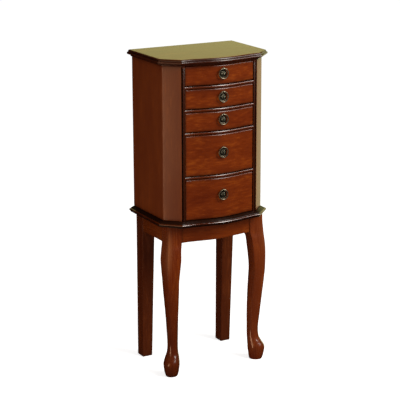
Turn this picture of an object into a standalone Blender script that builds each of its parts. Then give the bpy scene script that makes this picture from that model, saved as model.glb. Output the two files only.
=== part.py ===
"""Jewelry armoire: a serpentine five-drawer cabinet with two side doors and a flip-top lid,
standing on two cabriole front legs and two raked rear legs.

Metres, +Z up, the front faces -Y.  The origin is on the floor, under the middle of the
bounding box.  A distance "from the back" is measured towards the front from the back of the case.
"""

import math

import bmesh
import bpy
from mathutils import Matrix, Vector

# ------------------------------------------------------------------ overall sizes
CLEAR = 0.0003                # gap kept between pieces that touch
CASE_HALF_WIDTH = 0.167       # middle of the case to the outside of a door
SIDE_DEPTH = 0.192            # back of the case to the corner where a side turns into its cant
CANT = 0.0415                 # the 45 degree corner cut, measured along either side
SWELL = 0.018                 # how far the serpentine front stands out at its middle
LEG_HEIGHT = 0.4685           # floor to the underside of the base board
REAR_RAKE = 0.011             # how far the rear feet stand out behind the case

# ------------------------------------------------------------------ base and lid boards
BASE_THICKNESS = 0.0165
LID_THICKNESS = 0.020
LID_GAP = 0.001               # between the top of the case and the lid
OVERHANG = 0.0162             # the moulded edges stand out this far past the case
# Moulded edges, top to bottom: inset from the outermost line, drop below the board's top.
LID_EDGE = ((0.0084, 0.0), (0.0052, 0.0022), (0.0034, 0.0056), (0.0010, 0.0068),
            (0.0, 0.0096), (0.0012, 0.0124), (0.0055, 0.0142), (0.0105, 0.0168))
LID_FOOT_INSET = 0.0125
BASE_EDGE = ((0.0127, 0.0), (0.0105, 0.0024), (0.0052, 0.0050), (0.0012, 0.0066),
             (0.0, 0.0094), (0.0012, 0.0122), (0.0038, 0.0140))
BASE_FOOT_INSET = 0.0042

# ------------------------------------------------------------------ case
BACK_THICKNESS = 0.009
PARTITION_THICKNESS = 0.006
DOOR_SHADOW_GAP = 0.0045      # between a stile and its door's front edge
STILE_WIDTH = 0.0065
STILE_DEPTH = 0.0335
STOP_WIDTH = 0.011            # the lip behind each door's front edge
STOP_THICKNESS = 0.0085
RAIL_THICKNESS = 0.008        # the boards between the drawers, with their rounded front edge
RAIL_NOSE = 0.0028            # how deep that edge is rounded
DRAWER_OPENINGS = (0.124, 0.123, 0.060, 0.060, 0.060)   # heights, bottom to top
TOP_FRAME_THICKNESS = 0.006

# ------------------------------------------------------------------ doors
DOOR_THICKNESS = 0.012
DOOR_GAP = 0.001              # beside the back panel, above a door and below it
DOOR_INSIDE_GAP = 0.0015      # between a door and the boards it closes over
HOOK_RAIL_HEIGHT = 0.020
HOOK_RAIL_THICKNESS = 0.008
HOOK_RAIL_DROP = 0.022        # top of the door to the top of its hook rail
HOOK_RAIL_END = 0.020         # hook rail's end to the back panel, and to the door's corner
HOOK_COUNT = 5
HOOK_REACH = 0.012
HOOK_SIZE = 0.003
HOOK_TIP = 0.007

# ------------------------------------------------------------------ hinges
LEAF_THICKNESS = 0.0008
LEAF_WIDTH = 0.0082
LEAF_SPLIT = 0.0003           # between the two closed leaves
MORTISE_GAP = 0.0003          # around the leaves in their mortise
BARREL_RADIUS = 0.0022
BARREL_STANDOFF = 0.0003      # barrel to the face that it stands on
PIN_RADIUS = 0.0010
PIN_CLEARANCE = 0.0003
DOOR_HINGE_LENGTH = 0.038
DOOR_HINGE_END = 0.060        # middle of a hinge to the door's end
LID_HINGE_LENGTH = 0.034
LID_HINGE_INSET = 0.049       # end of the back panel to the middle of a lid hinge

# ------------------------------------------------------------------ drawers
DRAWER_SIDE_GAP = 0.0015
DRAWER_FLOAT = 0.0012         # under a drawer box
DRAWER_BACK_GAP = 0.003
DRAWER_HEADROOM = 0.010       # above a drawer box
FRONT_GAP = 0.0010            # around a drawer front
FRONT_THICKNESS = 0.014       # at the ends of a drawer front
FRONT_ROUND = 0.0045          # rounding of its edges
BOX_WALL = 0.006
BOX_FLOOR = 0.004
POCKET_COLUMNS = (1, 1, 1, 2, 3)   # compartments across each drawer, bottom to top

# ------------------------------------------------------------------ tray under the lid
TRAY_SIDE_GAP = 0.0105        # tray to the line of the stiles
TRAY_BACK_GAP = 0.007         # tray to the back panel
TRAY_FRONT_GAP = 0.011        # tray to the back of the top drawer's front
TRAY_HEIGHT = 0.0268
TRAY_WALL = 0.004
TRAY_FLOOR = 0.003
TRAY_SEAT = 0.0004            # tray to the edge of its hole in the top frame
ROLL_DEPTH = 0.094            # front compartment, which holds the ring rolls
ROLL_GAP = 0.001
ROLL_HEIGHT = 0.020
TRAY_COLUMNS = 2              # compartments behind the ring rolls

# ------------------------------------------------------------------ mirror
MIRROR_SIDE_INSET = 0.012     # line of the tray to the mirror's side edge
MIRROR_BACK = 0.040           # back of the case to the mirror's rear edge
MIRROR_FRONT = 0.0435         # ends of the serpentine front to the mirror's front edge
MIRROR_THICKNESS = 0.003

# ------------------------------------------------------------------ ring pulls
PLATE_RADIUS = 0.0130
PLATE_THICKNESS = 0.0018
BOSS_RADIUS = 0.0085
BOSS_HEIGHT = 0.0042
RING_RADIUS = 0.0147          # middle line of the ring
RING_WIRE = 0.00205
RING_STANDOFF = 0.0056        # drawer front to the ring's plane
EYE_LENGTH = 0.0044
EYE_CLEARANCE = 0.00055
EYE_WALL = 0.0012
LUG_WIDTH = 0.0034            # the stem that carries the eye
LUG_THICKNESS = 0.0022
PULL_RISE = (0.010, 0.006, 0.0045, 0.003, 0.003)   # above the middle of each front, bottom to top

# ------------------------------------------------------------------ stand
APRON_HEIGHT = 0.0545
APRON_THICKNESS = 0.012
APRON_SWELL = 0.014
APRON_INSET = 0.0012          # apron's face behind the face of its legs
FRONT_POST = 0.044
POST_INSET = 0.007            # outside of the posts to the outside of the doors
FRONT_POST_SETBACK = 0.0195   # front of the front posts to the ends of the serpentine front
REAR_POST_WIDTH = 0.041
REAR_POST_DEPTH = 0.043
REAR_FOOT_INSET = 0.0043      # outside of the rear feet to the outside of their posts
REAR_FOOT_WIDTH = 0.0327
REAR_FOOT_DEPTH = 0.0367
# Cabriole leg, top to bottom: share of the leg's height, then how far its middle is carried
# outwards along the diagonal, its half width along the diagonal and across it, and its
# roundness, from 1 for a square post to 2 for an oval.
CABRIOLE = (
    (1.000, 0.0000, 0.0311, 0.0311, 1.00),
    (0.955, 0.0004, 0.0313, 0.0310, 1.00),
    (0.884, 0.0020, 0.0329, 0.0309, 1.02),
    (0.838, 0.0115, 0.0265, 0.0312, 1.10),
    (0.780, 0.0136, 0.0276, 0.0324, 1.15),
    (0.720, 0.0150, 0.0271, 0.0303, 1.20),
    (0.640, 0.0152, 0.0262, 0.0268, 1.25),
    (0.560, 0.0127, 0.0254, 0.0248, 1.35),
    (0.440, 0.0082, 0.0234, 0.0210, 1.55),
    (0.320, 0.0045, 0.0207, 0.0175, 1.80),
    (0.203, 0.0020, 0.0178, 0.0156, 2.00),
    (0.154, 0.0036, 0.0188, 0.0172, 2.00),
    (0.122, 0.0083, 0.0222, 0.0215, 2.00),
    (0.082, 0.0142, 0.0268, 0.0243, 2.00),
    (0.038, 0.0140, 0.0240, 0.0223, 2.00),
    (0.008, 0.0130, 0.0210, 0.0190, 2.00),
    (0.000, 0.0127, 0.0195, 0.0176, 2.00),
)

# ------------------------------------------------------------------ facets
FRONT_STEPS = 16              # straight pieces along a serpentine edge
LEG_STEPS = 16                # sides of a cabriole leg
TURNED_STEPS = 24             # sides of a plate or of a ring
WIRE_STEPS = 10               # sides of a ring's wire
BARREL_STEPS = 14             # sides of a hinge barrel or an eye

# ------------------------------------------------------------------ derived places
CHORD_DEPTH = SIDE_DEPTH + CANT
BACK_Y = (CHORD_DEPTH + OVERHANG + SWELL - REAR_RAKE) / 2
CHORD_Y = BACK_Y - CHORD_DEPTH
DOOR_EDGE = CASE_HALF_WIDTH - CANT
STILE_OUTSIDE = DOOR_EDGE - DOOR_SHADOW_GAP
OPENING_HALF_WIDTH = STILE_OUTSIDE - STILE_WIDTH
MITRE = math.tan(math.radians(22.5))

BASE_TOP = LEG_HEIGHT + BASE_THICKNESS
CASE_HEIGHT = sum(DRAWER_OPENINGS) + RAIL_THICKNESS * (len(DRAWER_OPENINGS) - 1)
CASE_TOP = BASE_TOP + CASE_HEIGHT
LID_BOTTOM = CASE_TOP + LID_GAP
TOP_FRAME_BOTTOM = CASE_TOP - TOP_FRAME_THICKNESS

BACK_FACE = BACK_Y - BACK_THICKNESS            # front of the back panel
DOOR_INSIDE = CASE_HALF_WIDTH - DOOR_THICKNESS
BACK_HALF_WIDTH = DOOR_INSIDE - DOOR_GAP
DOOR_JOINT_X = DOOR_INSIDE - DOOR_GAP / 2
DOOR_BOTTOM = BASE_TOP + DOOR_GAP
DOOR_TOP = LID_BOTTOM - DOOR_GAP
LID_JOINT_Z = CASE_TOP + LID_GAP / 2
BARREL_CENTRE = BARREL_RADIUS + BARREL_STANDOFF
LID_PIVOT = Vector((0, BACK_Y + BARREL_CENTRE, LID_JOINT_Z))
LID_HINGE_X = BACK_HALF_WIDTH - LID_HINGE_INSET
TRAY_HALF_WIDTH = OPENING_HALF_WIDTH - TRAY_SIDE_GAP
MIRROR_HALF_WIDTH = TRAY_HALF_WIDTH - MIRROR_SIDE_INSET

STILE_BACK_Y = CHORD_Y + STILE_DEPTH
PARTITION_FRONT_Y = STILE_BACK_Y + CLEAR
FRONT_BACK_Y = CHORD_Y + FRONT_THICKNESS       # back of the drawer fronts
FACE_Y = CHORD_Y - SWELL                       # crest of the drawer fronts
TOP_FRAME_FRONT_Y = FRONT_BACK_Y + CLEAR * 2
APRON_BOTTOM = LEG_HEIGHT - APRON_HEIGHT
POST_TOP = LEG_HEIGHT - CLEAR
POST_X = CASE_HALF_WIDTH - POST_INSET
FRONT_POST_Y = CHORD_Y + FRONT_POST_SETBACK
REAR_FOOT_X = POST_X - REAR_FOOT_INSET

# ------------------------------------------------------------------ finishes: colour, roughness, metallic
CHERRY = ((0.27, 0.060, 0.014), 0.32, 0.0)
DARK_CHERRY = ((0.16, 0.036, 0.010), 0.36, 0.0)
INNER_WOOD = ((0.42, 0.24, 0.12), 0.55, 0.0)
ANTIQUE_BRASS = ((0.42, 0.33, 0.20), 0.38, 1.0)
AGED_BRASS = ((0.17, 0.14, 0.09), 0.45, 1.0)
SILVERED = ((0.90, 0.91, 0.92), 0.03, 1.0)
FELT = ((0.46, 0.36, 0.24), 0.95, 0.0)


def clear_scene():
    """Removes every object, so that the script starts from an empty scene."""
    for old in list(bpy.data.objects):
        bpy.data.objects.remove(old, do_unlink=True)


def dress(target, finish):
    """Gives an object its own Principled material."""
    colour, roughness, metallic = finish
    material = bpy.data.materials.new(target.name + "_finish")
    material.use_nodes = True
    shader = material.node_tree.nodes["Principled BSDF"]
    shader.inputs["Base Color"].default_value = (*colour, 1.0)
    shader.inputs["Roughness"].default_value = roughness
    shader.inputs["Metallic"].default_value = metallic
    target.data.materials.append(material)


def pivot(name, location, parent=None):
    """An empty on a joint, which the pieces of a moving body are parented to."""
    empty = bpy.data.objects.new(name, None)
    empty.empty_display_size = 0.02
    bpy.context.collection.objects.link(empty)
    settle(empty, location, parent)
    return empty


def settle(target, location, parent=None):
    """Places an object at a world location, under a parent that is only moved, never turned."""
    target.parent = parent
    carrier = Vector((0, 0, 0))
    while parent:
        carrier += parent.location
        parent = parent.parent
    target.location = Vector(location) - carrier


def body(name, vertices, faces, finish, origin=None, parent=None):
    """One closed mesh from world coordinates, with its origin at a world point."""
    points = [Vector(v) for v in vertices]
    if origin is None:
        low = Vector(min(p[i] for p in points) for i in range(3))
        high = Vector(max(p[i] for p in points) for i in range(3))
        origin = (low + high) / 2
    mesh = bpy.data.meshes.new(name)
    mesh.from_pydata([p - Vector(origin) for p in points], [], faces)
    shell = bmesh.new()
    shell.from_mesh(mesh)
    bmesh.ops.recalc_face_normals(shell, faces=shell.faces)
    shell.to_mesh(mesh)
    shell.free()
    made = bpy.data.objects.new(name, mesh)
    bpy.context.collection.objects.link(made)
    settle(made, origin, parent)
    if finish:
        dress(made, finish)
    return made


def loft(name, rings, finish, origin=None, parent=None):
    """A closed body through rings that all have the same number of points."""
    count = len(rings[0])
    vertices = [point for ring in rings for point in ring]
    faces = [tuple(reversed(range(count)))]
    for level in range(len(rings) - 1):
        start = level * count
        for i in range(count):
            j = (i + 1) % count
            faces.append((start + i, start + j, start + count + j, start + count + i))
    faces.append(tuple(range(len(vertices) - count, len(vertices))))
    return body(name, vertices, faces, finish, origin, parent)


def prism(name, outline, bottom, top, finish, origin=None, parent=None):
    """A plan outline carried straight up from bottom to top."""
    rings = [[(x, y, z) for x, y in outline] for z in (bottom, top)]
    return loft(name, rings, finish, origin, parent)


def block(name, low, high, finish, origin=None, parent=None):
    """A board from its lowest to its highest corner, in any order along X."""
    (x0, y0, z0), (x1, y1, z1) = low, high
    return prism(name, [(x0, y0), (x1, y0), (x1, y1), (x0, y1)], z0, z1, finish, origin, parent)


def circle(radius, steps):
    """Points round a circle in a plane."""
    turns = [2 * math.pi * i / steps for i in range(steps)]
    return [(radius * math.cos(t), radius * math.sin(t)) for t in turns]


def turned(name, profile, steps, finish, origin=None, parent=None):
    """A turned body along Z from its profile: radius and height, bottom to top."""
    rings = [[(x, y, z) for x, y in circle(radius, steps)] for radius, z in profile]
    return loft(name, rings, finish, origin, parent)


def tool(target):
    """Marks an object as a cutter or an addition that is not itself a piece."""
    target.hide_render = True
    target.display_type = "WIRE"
    return target


def combine(target, other, operation):
    """Cuts another object out of the target, or joins it to the target."""
    change = target.modifiers.new(other.name, "BOOLEAN")
    change.operation = operation
    change.object = other
    change.solver = "EXACT"


def spaced(low, high, steps):
    """Evenly spaced values from low to high, both included."""
    return [low + (high - low) * i / steps for i in range(steps + 1)]


def serpentine(x, half_span, reach, swell):
    """Y of a serpentine face: a raised cosine wave that is flat at both ends of its span."""
    return reach - swell * 0.5 * (1 + math.cos(math.pi * x / half_span))


def case_outline(overhang):
    """Plan of the whole case, grown outwards by an overhang except at the back."""
    half = CASE_HALF_WIDTH + overhang
    corner = MITRE * overhang
    side_y = BACK_Y - SIDE_DEPTH - corner
    span = DOOR_EDGE + corner
    front = [(x, serpentine(x, span, CHORD_Y - overhang, SWELL)) for x in spaced(-span, span, FRONT_STEPS)]
    return [(-half, BACK_Y), (-half, side_y), *front, (half, side_y), (half, BACK_Y)]


def moulded_board(name, edge, foot_inset, top, thickness, finish, origin=None, parent=None):
    """A board with the case's plan and a moulded edge all round except at the back."""
    steps = [*edge, (foot_inset, thickness)]
    rings = []
    for inset, drop in reversed(steps):
        rings.append([(x, y, top - drop) for x, y in case_outline(OVERHANG - inset)])
    return loft(name, rings, finish, origin, parent)


def pocketed(name, low, high, pockets, finish, origin=None, parent=None):
    """A board or box with pockets cut down into it from above: lowest and highest corners."""
    made = block(name, low, high, finish, origin, parent)
    for number, (pocket_low, pocket_high) in enumerate(pockets, start=1):
        cutter = tool(block(f"{name}_pocket_{number}", pocket_low, pocket_high, None))
        combine(made, cutter, "DIFFERENCE")
    return made


def columns(count, half_width, wall):
    """The left and right edges of compartments side by side, with walls round and between."""
    width = (2 * half_width - wall * (count + 1)) / count
    starts = [-half_width + wall + i * (width + wall) for i in range(count)]
    return [(start, start + width) for start in starts]


# ------------------------------------------------------------------ hinges
def butt_hinge(name, place, turn, length, moving_parent):
    """A closed butt hinge: the fixed leaf with its two end knuckles and pin, and the moving
    leaf with the middle knuckle.

    It is drawn with its axis on local Z and its leaves along local +X, the fixed one on the
    +Y side.  Returns the mortise cutter that both boards share.
    """
    knuckle = length / 3
    half_split = LEAF_SPLIT / 2
    leaf_end = BARREL_CENTRE + LEAF_WIDTH
    bore = PIN_RADIUS + PIN_CLEARANCE

    def place_local(target, parent=None):
        target.rotation_euler = turn.to_euler()
        settle(target, place, parent)
        return target

    def barrel(label, radius, low, high):
        shape = turned(f"{name}_{label}", [(radius, low), (radius, high)], BARREL_STEPS, None, (0, 0, 0))
        return tool(place_local(shape))

    def leaf(label, y_low, y_high, parent):
        made = block(f"{name}_{label}", (0, y_low, -length / 2), (leaf_end, y_high, length / 2),
                     AGED_BRASS, (0, 0, 0))
        return place_local(made, parent)

    fixed = leaf("fixed_leaf", half_split, half_split + LEAF_THICKNESS, None)
    room = barrel("middle_room", BARREL_RADIUS + CLEAR, -knuckle / 2 - CLEAR, knuckle / 2 + CLEAR)
    combine(fixed, room, "DIFFERENCE")
    for label, low, high in (("lower_knuckle", -length / 2, -knuckle / 2 - CLEAR),
                             ("upper_knuckle", knuckle / 2 + CLEAR, length / 2)):
        combine(fixed, barrel(label, BARREL_RADIUS, low, high), "UNION")
    combine(fixed, barrel("pin", PIN_RADIUS, -length / 2 - CLEAR, length / 2 + CLEAR), "UNION")

    moving = leaf("moving_leaf", -half_split - LEAF_THICKNESS, -half_split, moving_parent)
    for label, low, high in (("lower_room", -length, -knuckle / 2),
                             ("upper_room", knuckle / 2, length)):
        combine(moving, barrel(label, BARREL_RADIUS + CLEAR, low, high), "DIFFERENCE")
    combine(moving, barrel("knuckle", BARREL_RADIUS, -knuckle / 2, knuckle / 2), "UNION")
    combine(moving, barrel("bore", bore, -knuckle, knuckle), "DIFFERENCE")

    depth = half_split + LEAF_THICKNESS + MORTISE_GAP
    mortise = block(f"{name}_mortise", (-BARREL_RADIUS, -depth, -length / 2 - MORTISE_GAP),
                    (leaf_end + MORTISE_GAP, depth, length / 2 + MORTISE_GAP), None, (0, 0, 0))
    return tool(place_local(mortise))


# ------------------------------------------------------------------ case pieces
def build_case_boards():
    """Base board, back panel and the two partitions between the drawers and the doors."""
    moulded_board("base_board", BASE_EDGE, BASE_FOOT_INSET, BASE_TOP, BASE_THICKNESS, CHERRY)
    back_panel = block("back_panel", (-BACK_HALF_WIDTH, BACK_FACE, BASE_TOP + CLEAR),
                       (BACK_HALF_WIDTH, BACK_Y, CASE_TOP), DARK_CHERRY)
    for side, word in ((-1, "left"), (1, "right")):
        block(f"{word}_partition",
              (side * OPENING_HALF_WIDTH, PARTITION_FRONT_Y, BASE_TOP + CLEAR),
              (side * (OPENING_HALF_WIDTH + PARTITION_THICKNESS), BACK_FACE - CLEAR,
               TOP_FRAME_BOTTOM - CLEAR), DARK_CHERRY)
    return back_panel


def build_stiles():
    """The upright strips beside the drawers, each with a lip that its door closes against."""
    stop_front = STILE_BACK_Y - STOP_THICKNESS
    for side, word in ((-1, "left"), (1, "right")):
        inner, outer = OPENING_HALF_WIDTH, STILE_OUTSIDE
        outline = [(inner, serpentine(inner, DOOR_EDGE, CHORD_Y, SWELL)),
                   (outer, serpentine(outer, DOOR_EDGE, CHORD_Y, SWELL)),
                   (outer, stop_front), (outer + STOP_WIDTH, stop_front),
                   (outer + STOP_WIDTH, STILE_BACK_Y), (inner, STILE_BACK_Y)]
        prism(f"{word}_stile", [(side * x, y) for x, y in outline],
              BASE_TOP + CLEAR, TOP_FRAME_BOTTOM - CLEAR, CHERRY)


def opening_spans():
    """The bottom and top of each drawer opening, from the lowest drawer up."""
    spans = []
    bottom = BASE_TOP
    for height in DRAWER_OPENINGS:
        spans.append((bottom, bottom + height))
        bottom += height + RAIL_THICKNESS
    return spans


def build_rails():
    """The boards between the drawers, each with a rounded serpentine nose."""
    half = OPENING_HALF_WIDTH - CLEAR
    xs = spaced(-half, half, FRONT_STEPS)
    nose = ((RAIL_NOSE, 0.0), (RAIL_NOSE * 0.3, RAIL_THICKNESS * 0.2), (0.0, RAIL_THICKNESS * 0.5),
            (RAIL_NOSE * 0.3, RAIL_THICKNESS * 0.8), (RAIL_NOSE, RAIL_THICKNESS))
    for number, (_, opening_top) in enumerate(opening_spans()[:-1], start=1):
        rings = []
        for setback, rise in nose:
            front = [(x, serpentine(x, DOOR_EDGE, CHORD_Y, SWELL) + setback, opening_top + rise) for x in xs]
            back = [(x, BACK_FACE - CLEAR, opening_top + rise) for x in (half, -half)]
            rings.append(front + back)
        loft(f"drawer_rail_{number}", rings, CHERRY)


def build_top_frame():
    """The board at the top of the case, with ears over the stiles and a hole for the tray."""
    inside = DOOR_INSIDE - DOOR_INSIDE_GAP
    turn_in = math.sqrt(2) * (DOOR_THICKNESS + DOOR_INSIDE_GAP)
    cant_line = CASE_HALF_WIDTH + SIDE_DEPTH - turn_in    # half width plus distance from the back
    ear = STILE_OUTSIDE
    ear_back = cant_line - ear
    notch = OPENING_HALF_WIDTH + CLEAR
    right = [(notch, TOP_FRAME_FRONT_Y), (notch, serpentine(notch, DOOR_EDGE, CHORD_Y, SWELL)),
             (ear, serpentine(ear, DOOR_EDGE, CHORD_Y, SWELL)), (ear, BACK_Y - ear_back),
             (inside, BACK_Y - (cant_line - inside)), (inside, BACK_FACE - CLEAR)]
    left = [(-x, y) for x, y in reversed(right)]
    frame = prism("top_frame", right + left, TOP_FRAME_BOTTOM, CASE_TOP, DARK_CHERRY)
    low, high = tray_box()
    hole = tool(block("top_frame_hole", (low[0] - TRAY_SEAT, low[1] - TRAY_SEAT, low[2]),
                      (high[0] + TRAY_SEAT, high[1] + TRAY_SEAT, CASE_TOP + TRAY_SEAT), None))
    combine(frame, hole, "DIFFERENCE")


def tray_box():
    """Lowest and highest corners of the tray under the lid."""
    top = CASE_TOP - CLEAR
    return ((-TRAY_HALF_WIDTH, FRONT_BACK_Y + TRAY_FRONT_GAP, top - TRAY_HEIGHT),
            (TRAY_HALF_WIDTH, BACK_FACE - TRAY_BACK_GAP, top))


def build_tray():
    """The tray under the lid: ring rolls in front and open compartments behind."""
    low, high = tray_box()
    floor = low[2] + TRAY_FLOOR
    above = high[2] + TRAY_SEAT
    roll_low_y, roll_high_y = low[1] + TRAY_WALL, low[1] + TRAY_WALL + ROLL_DEPTH
    across = TRAY_HALF_WIDTH - TRAY_WALL
    pockets = [((-across, roll_low_y, floor), (across, roll_high_y, above))]
    for left, right in columns(TRAY_COLUMNS, TRAY_HALF_WIDTH, TRAY_WALL):
        pockets.append(((left, roll_high_y + TRAY_WALL, floor), (right, high[1] - TRAY_WALL, above)))
    pocketed("lid_tray", low, high, pockets, INNER_WOOD)
    block("ring_rolls", (-across + ROLL_GAP, roll_low_y + ROLL_GAP, floor + CLEAR),
          (across - ROLL_GAP, roll_high_y - ROLL_GAP, floor + CLEAR + ROLL_HEIGHT), FELT)


# ------------------------------------------------------------------ lid
def build_lid(parent):
    """The moulded lid and the mirror let into its underside."""
    lid = moulded_board("lid", LID_EDGE, LID_FOOT_INSET, LID_BOTTOM + LID_THICKNESS, LID_THICKNESS,
                        CHERRY, LID_PIVOT, parent)
    back = BACK_Y - MIRROR_BACK
    low = (-MIRROR_HALF_WIDTH, CHORD_Y + MIRROR_FRONT, LID_BOTTOM + CLEAR)
    high = (MIRROR_HALF_WIDTH, back, LID_BOTTOM + CLEAR + MIRROR_THICKNESS)
    block("lid_mirror", low, high, SILVERED, None, parent)
    recess = tool(block("lid_recess", [low[0] - CLEAR, low[1] - CLEAR, LID_BOTTOM - LID_GAP / 2],
                        [c + CLEAR for c in high], None))
    combine(lid, recess, "DIFFERENCE")
    return lid


# ------------------------------------------------------------------ doors
def build_door(side, word, parent):
    """One side door: the flat side and its canted corner in one panel, with its hook rail."""
    turn_in = math.sqrt(2) * DOOR_THICKNESS
    corner_y = BACK_Y - (CASE_HALF_WIDTH + SIDE_DEPTH - turn_in - DOOR_INSIDE)
    edge_y = corner_y - (DOOR_INSIDE - DOOR_EDGE)
    outline = [(CASE_HALF_WIDTH, BACK_Y), (CASE_HALF_WIDTH, BACK_Y - SIDE_DEPTH),
               (DOOR_EDGE, CHORD_Y), (DOOR_EDGE, edge_y), (DOOR_INSIDE, corner_y), (DOOR_INSIDE, BACK_Y)]
    door = prism(f"{word}_door", [(side * x, y) for x, y in outline], DOOR_BOTTOM, DOOR_TOP,
                 CHERRY, parent.location, parent)
    build_hook_rail(side, word, corner_y + HOOK_RAIL_END, parent)
    return door


def build_hook_rail(side, word, front, parent):
    """The strip inside a door, from a given front end, with its row of necklace hooks."""
    face = DOOR_INSIDE - CLEAR
    rail_top = DOOR_TOP - HOOK_RAIL_DROP
    rear = BACK_FACE - HOOK_RAIL_END
    rail = block(f"{word}_hook_rail", (side * (face - HOOK_RAIL_THICKNESS), front, rail_top - HOOK_RAIL_HEIGHT),
                 (side * face, rear, rail_top), INNER_WOOD, None, parent)
    root = face - HOOK_RAIL_THICKNESS / 2
    tip = face - HOOK_RAIL_THICKNESS - HOOK_REACH
    foot = rail_top - HOOK_RAIL_HEIGHT / 2
    profile = [(root, foot), (root, foot - HOOK_SIZE), (tip, foot - HOOK_SIZE), (tip, foot + HOOK_TIP),
               (tip + HOOK_SIZE, foot + HOOK_TIP), (tip + HOOK_SIZE, foot)]
    count = len(profile)
    vertices, faces = [], []
    pitch = (rear - front) / HOOK_COUNT
    for number in range(HOOK_COUNT):
        start = len(vertices)
        middle = front + pitch * (number + 0.5)
        for y in (middle - HOOK_SIZE / 2, middle + HOOK_SIZE / 2):
            vertices += [(side * x, y, z) for x, z in profile]
        faces.append(tuple(start + i for i in range(count)))
        faces.append(tuple(start + count + i for i in reversed(range(count))))
        for i in range(count):
            j = (i + 1) % count
            faces.append((start + j, start + i, start + count + i, start + count + j))
    hooks = tool(body(f"{word}_hooks", vertices, faces, None, None, None))
    combine(rail, hooks, "UNION")


# ------------------------------------------------------------------ drawers
def build_drawer(number, span, parent):
    """One drawer: its serpentine front, its box and its ring pull."""
    bottom, top = span
    is_top = number == len(DRAWER_OPENINGS)
    build_drawer_front(number, bottom + FRONT_GAP, top - FRONT_GAP, parent)
    ceiling = tray_box()[0][2] - LID_GAP if is_top else top - DRAWER_HEADROOM
    half = OPENING_HALF_WIDTH - DRAWER_SIDE_GAP
    low = (-half, FRONT_BACK_Y + CLEAR, bottom + DRAWER_FLOAT)
    high = (half, BACK_FACE - DRAWER_BACK_GAP, ceiling)
    pockets = [((left, low[1] + BOX_WALL, low[2] + BOX_FLOOR), (right, high[1] - BOX_WALL, ceiling + BOX_WALL))
               for left, right in columns(POCKET_COLUMNS[number - 1], half, BOX_WALL)]
    pocketed(f"drawer_{number}_box", low, high, pockets, INNER_WOOD, None, parent)
    build_pull(number, (bottom + top) / 2 + PULL_RISE[number - 1], parent)


def build_drawer_front(number, bottom, top, parent):
    """A solid front, serpentine outside with rounded edges, and flat behind."""
    half = OPENING_HALF_WIDTH - FRONT_GAP
    rings = []
    for setback, inset in ((FRONT_ROUND, 0.0), (FRONT_ROUND * 0.3, FRONT_ROUND * 0.3), (0.0, FRONT_ROUND)):
        rings.append((setback, inset))
    rings = rings + [(setback, top - bottom - inset) for setback, inset in reversed(rings)]
    levels = []
    for setback, rise in rings:
        edge = half - setback * 0.5
        xs = spaced(-edge, edge, FRONT_STEPS)
        front = [(x, serpentine(x, DOOR_EDGE, CHORD_Y, SWELL) + setback, bottom + rise) for x in xs]
        back = [(x, FRONT_BACK_Y, bottom + rise) for x in (edge, -edge)]
        levels.append(front + back)
    loft(f"drawer_{number}_front", levels, CHERRY, None, parent)


def build_pull(number, height, parent):
    """A ring pull: a round plate with a domed boss and an eye, and the ring that hangs in it."""
    facing = Matrix.Rotation(math.radians(90), 4, "X")    # local Z points out of the drawer front
    base = Vector((0, FACE_Y - CLEAR, height))
    dome = [(BOSS_RADIUS * math.cos(a), PLATE_THICKNESS + (BOSS_HEIGHT - PLATE_THICKNESS) * math.sin(a))
            for a in (math.radians(d) for d in (0, 25, 50, 75))]
    profile = [(PLATE_RADIUS, 0.0), (PLATE_RADIUS, PLATE_THICKNESS * 0.5),
               (PLATE_RADIUS * 0.93, PLATE_THICKNESS), *dome]
    plate = turned(f"drawer_{number}_rosette", profile, TURNED_STEPS, AGED_BRASS, (0, 0, 0))
    plate.rotation_euler = facing.to_euler()
    settle(plate, base, parent)

    eye = Vector((0, FACE_Y - RING_STANDOFF, height + RING_RADIUS))
    sideways = Matrix.Rotation(math.radians(90), 4, "Y").to_euler()
    inner = RING_WIRE + EYE_CLEARANCE
    lug_back = base.y - PLATE_THICKNESS / 2
    lug = block(f"drawer_{number}_lug", (-LUG_WIDTH / 2, lug_back - LUG_THICKNESS, height + BOSS_RADIUS),
                (LUG_WIDTH / 2, lug_back, eye.z), None)
    combine(plate, tool(lug), "UNION")
    for label, radius, half, operation in (("eye", inner + EYE_WALL, EYE_LENGTH / 2, "UNION"),
                                           ("eye_bore", inner, EYE_LENGTH, "DIFFERENCE")):
        shape = turned(f"drawer_{number}_{label}", [(radius, -half), (radius, half)], BARREL_STEPS,
                       None, (0, 0, 0))
        shape.rotation_euler = sideways
        settle(tool(shape), eye)
        combine(plate, shape, operation)
    build_ring(number, eye, parent)


def build_ring(number, eye, parent):
    """A plain round ring that hangs from its eye; its origin is on the axis it swings about."""
    vertices, faces = [], []
    for across, up in circle(RING_RADIUS, TURNED_STEPS):
        outwards = Vector((across, 0, up)) / RING_RADIUS
        centre = eye + Vector((0, 0, -RING_RADIUS)) + outwards * RING_RADIUS
        for out, forward in circle(RING_WIRE, WIRE_STEPS):
            vertices.append(centre + outwards * out + Vector((0, forward, 0)))
    for i in range(TURNED_STEPS):
        for j in range(WIRE_STEPS):
            next_i, next_j = (i + 1) % TURNED_STEPS, (j + 1) % WIRE_STEPS
            faces.append((i * WIRE_STEPS + j, next_i * WIRE_STEPS + j,
                          next_i * WIRE_STEPS + next_j, i * WIRE_STEPS + next_j))
    ring = body(f"drawer_{number}_ring", vertices, faces, ANTIQUE_BRASS, eye, parent)
    ring.data.shade_smooth()


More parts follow.
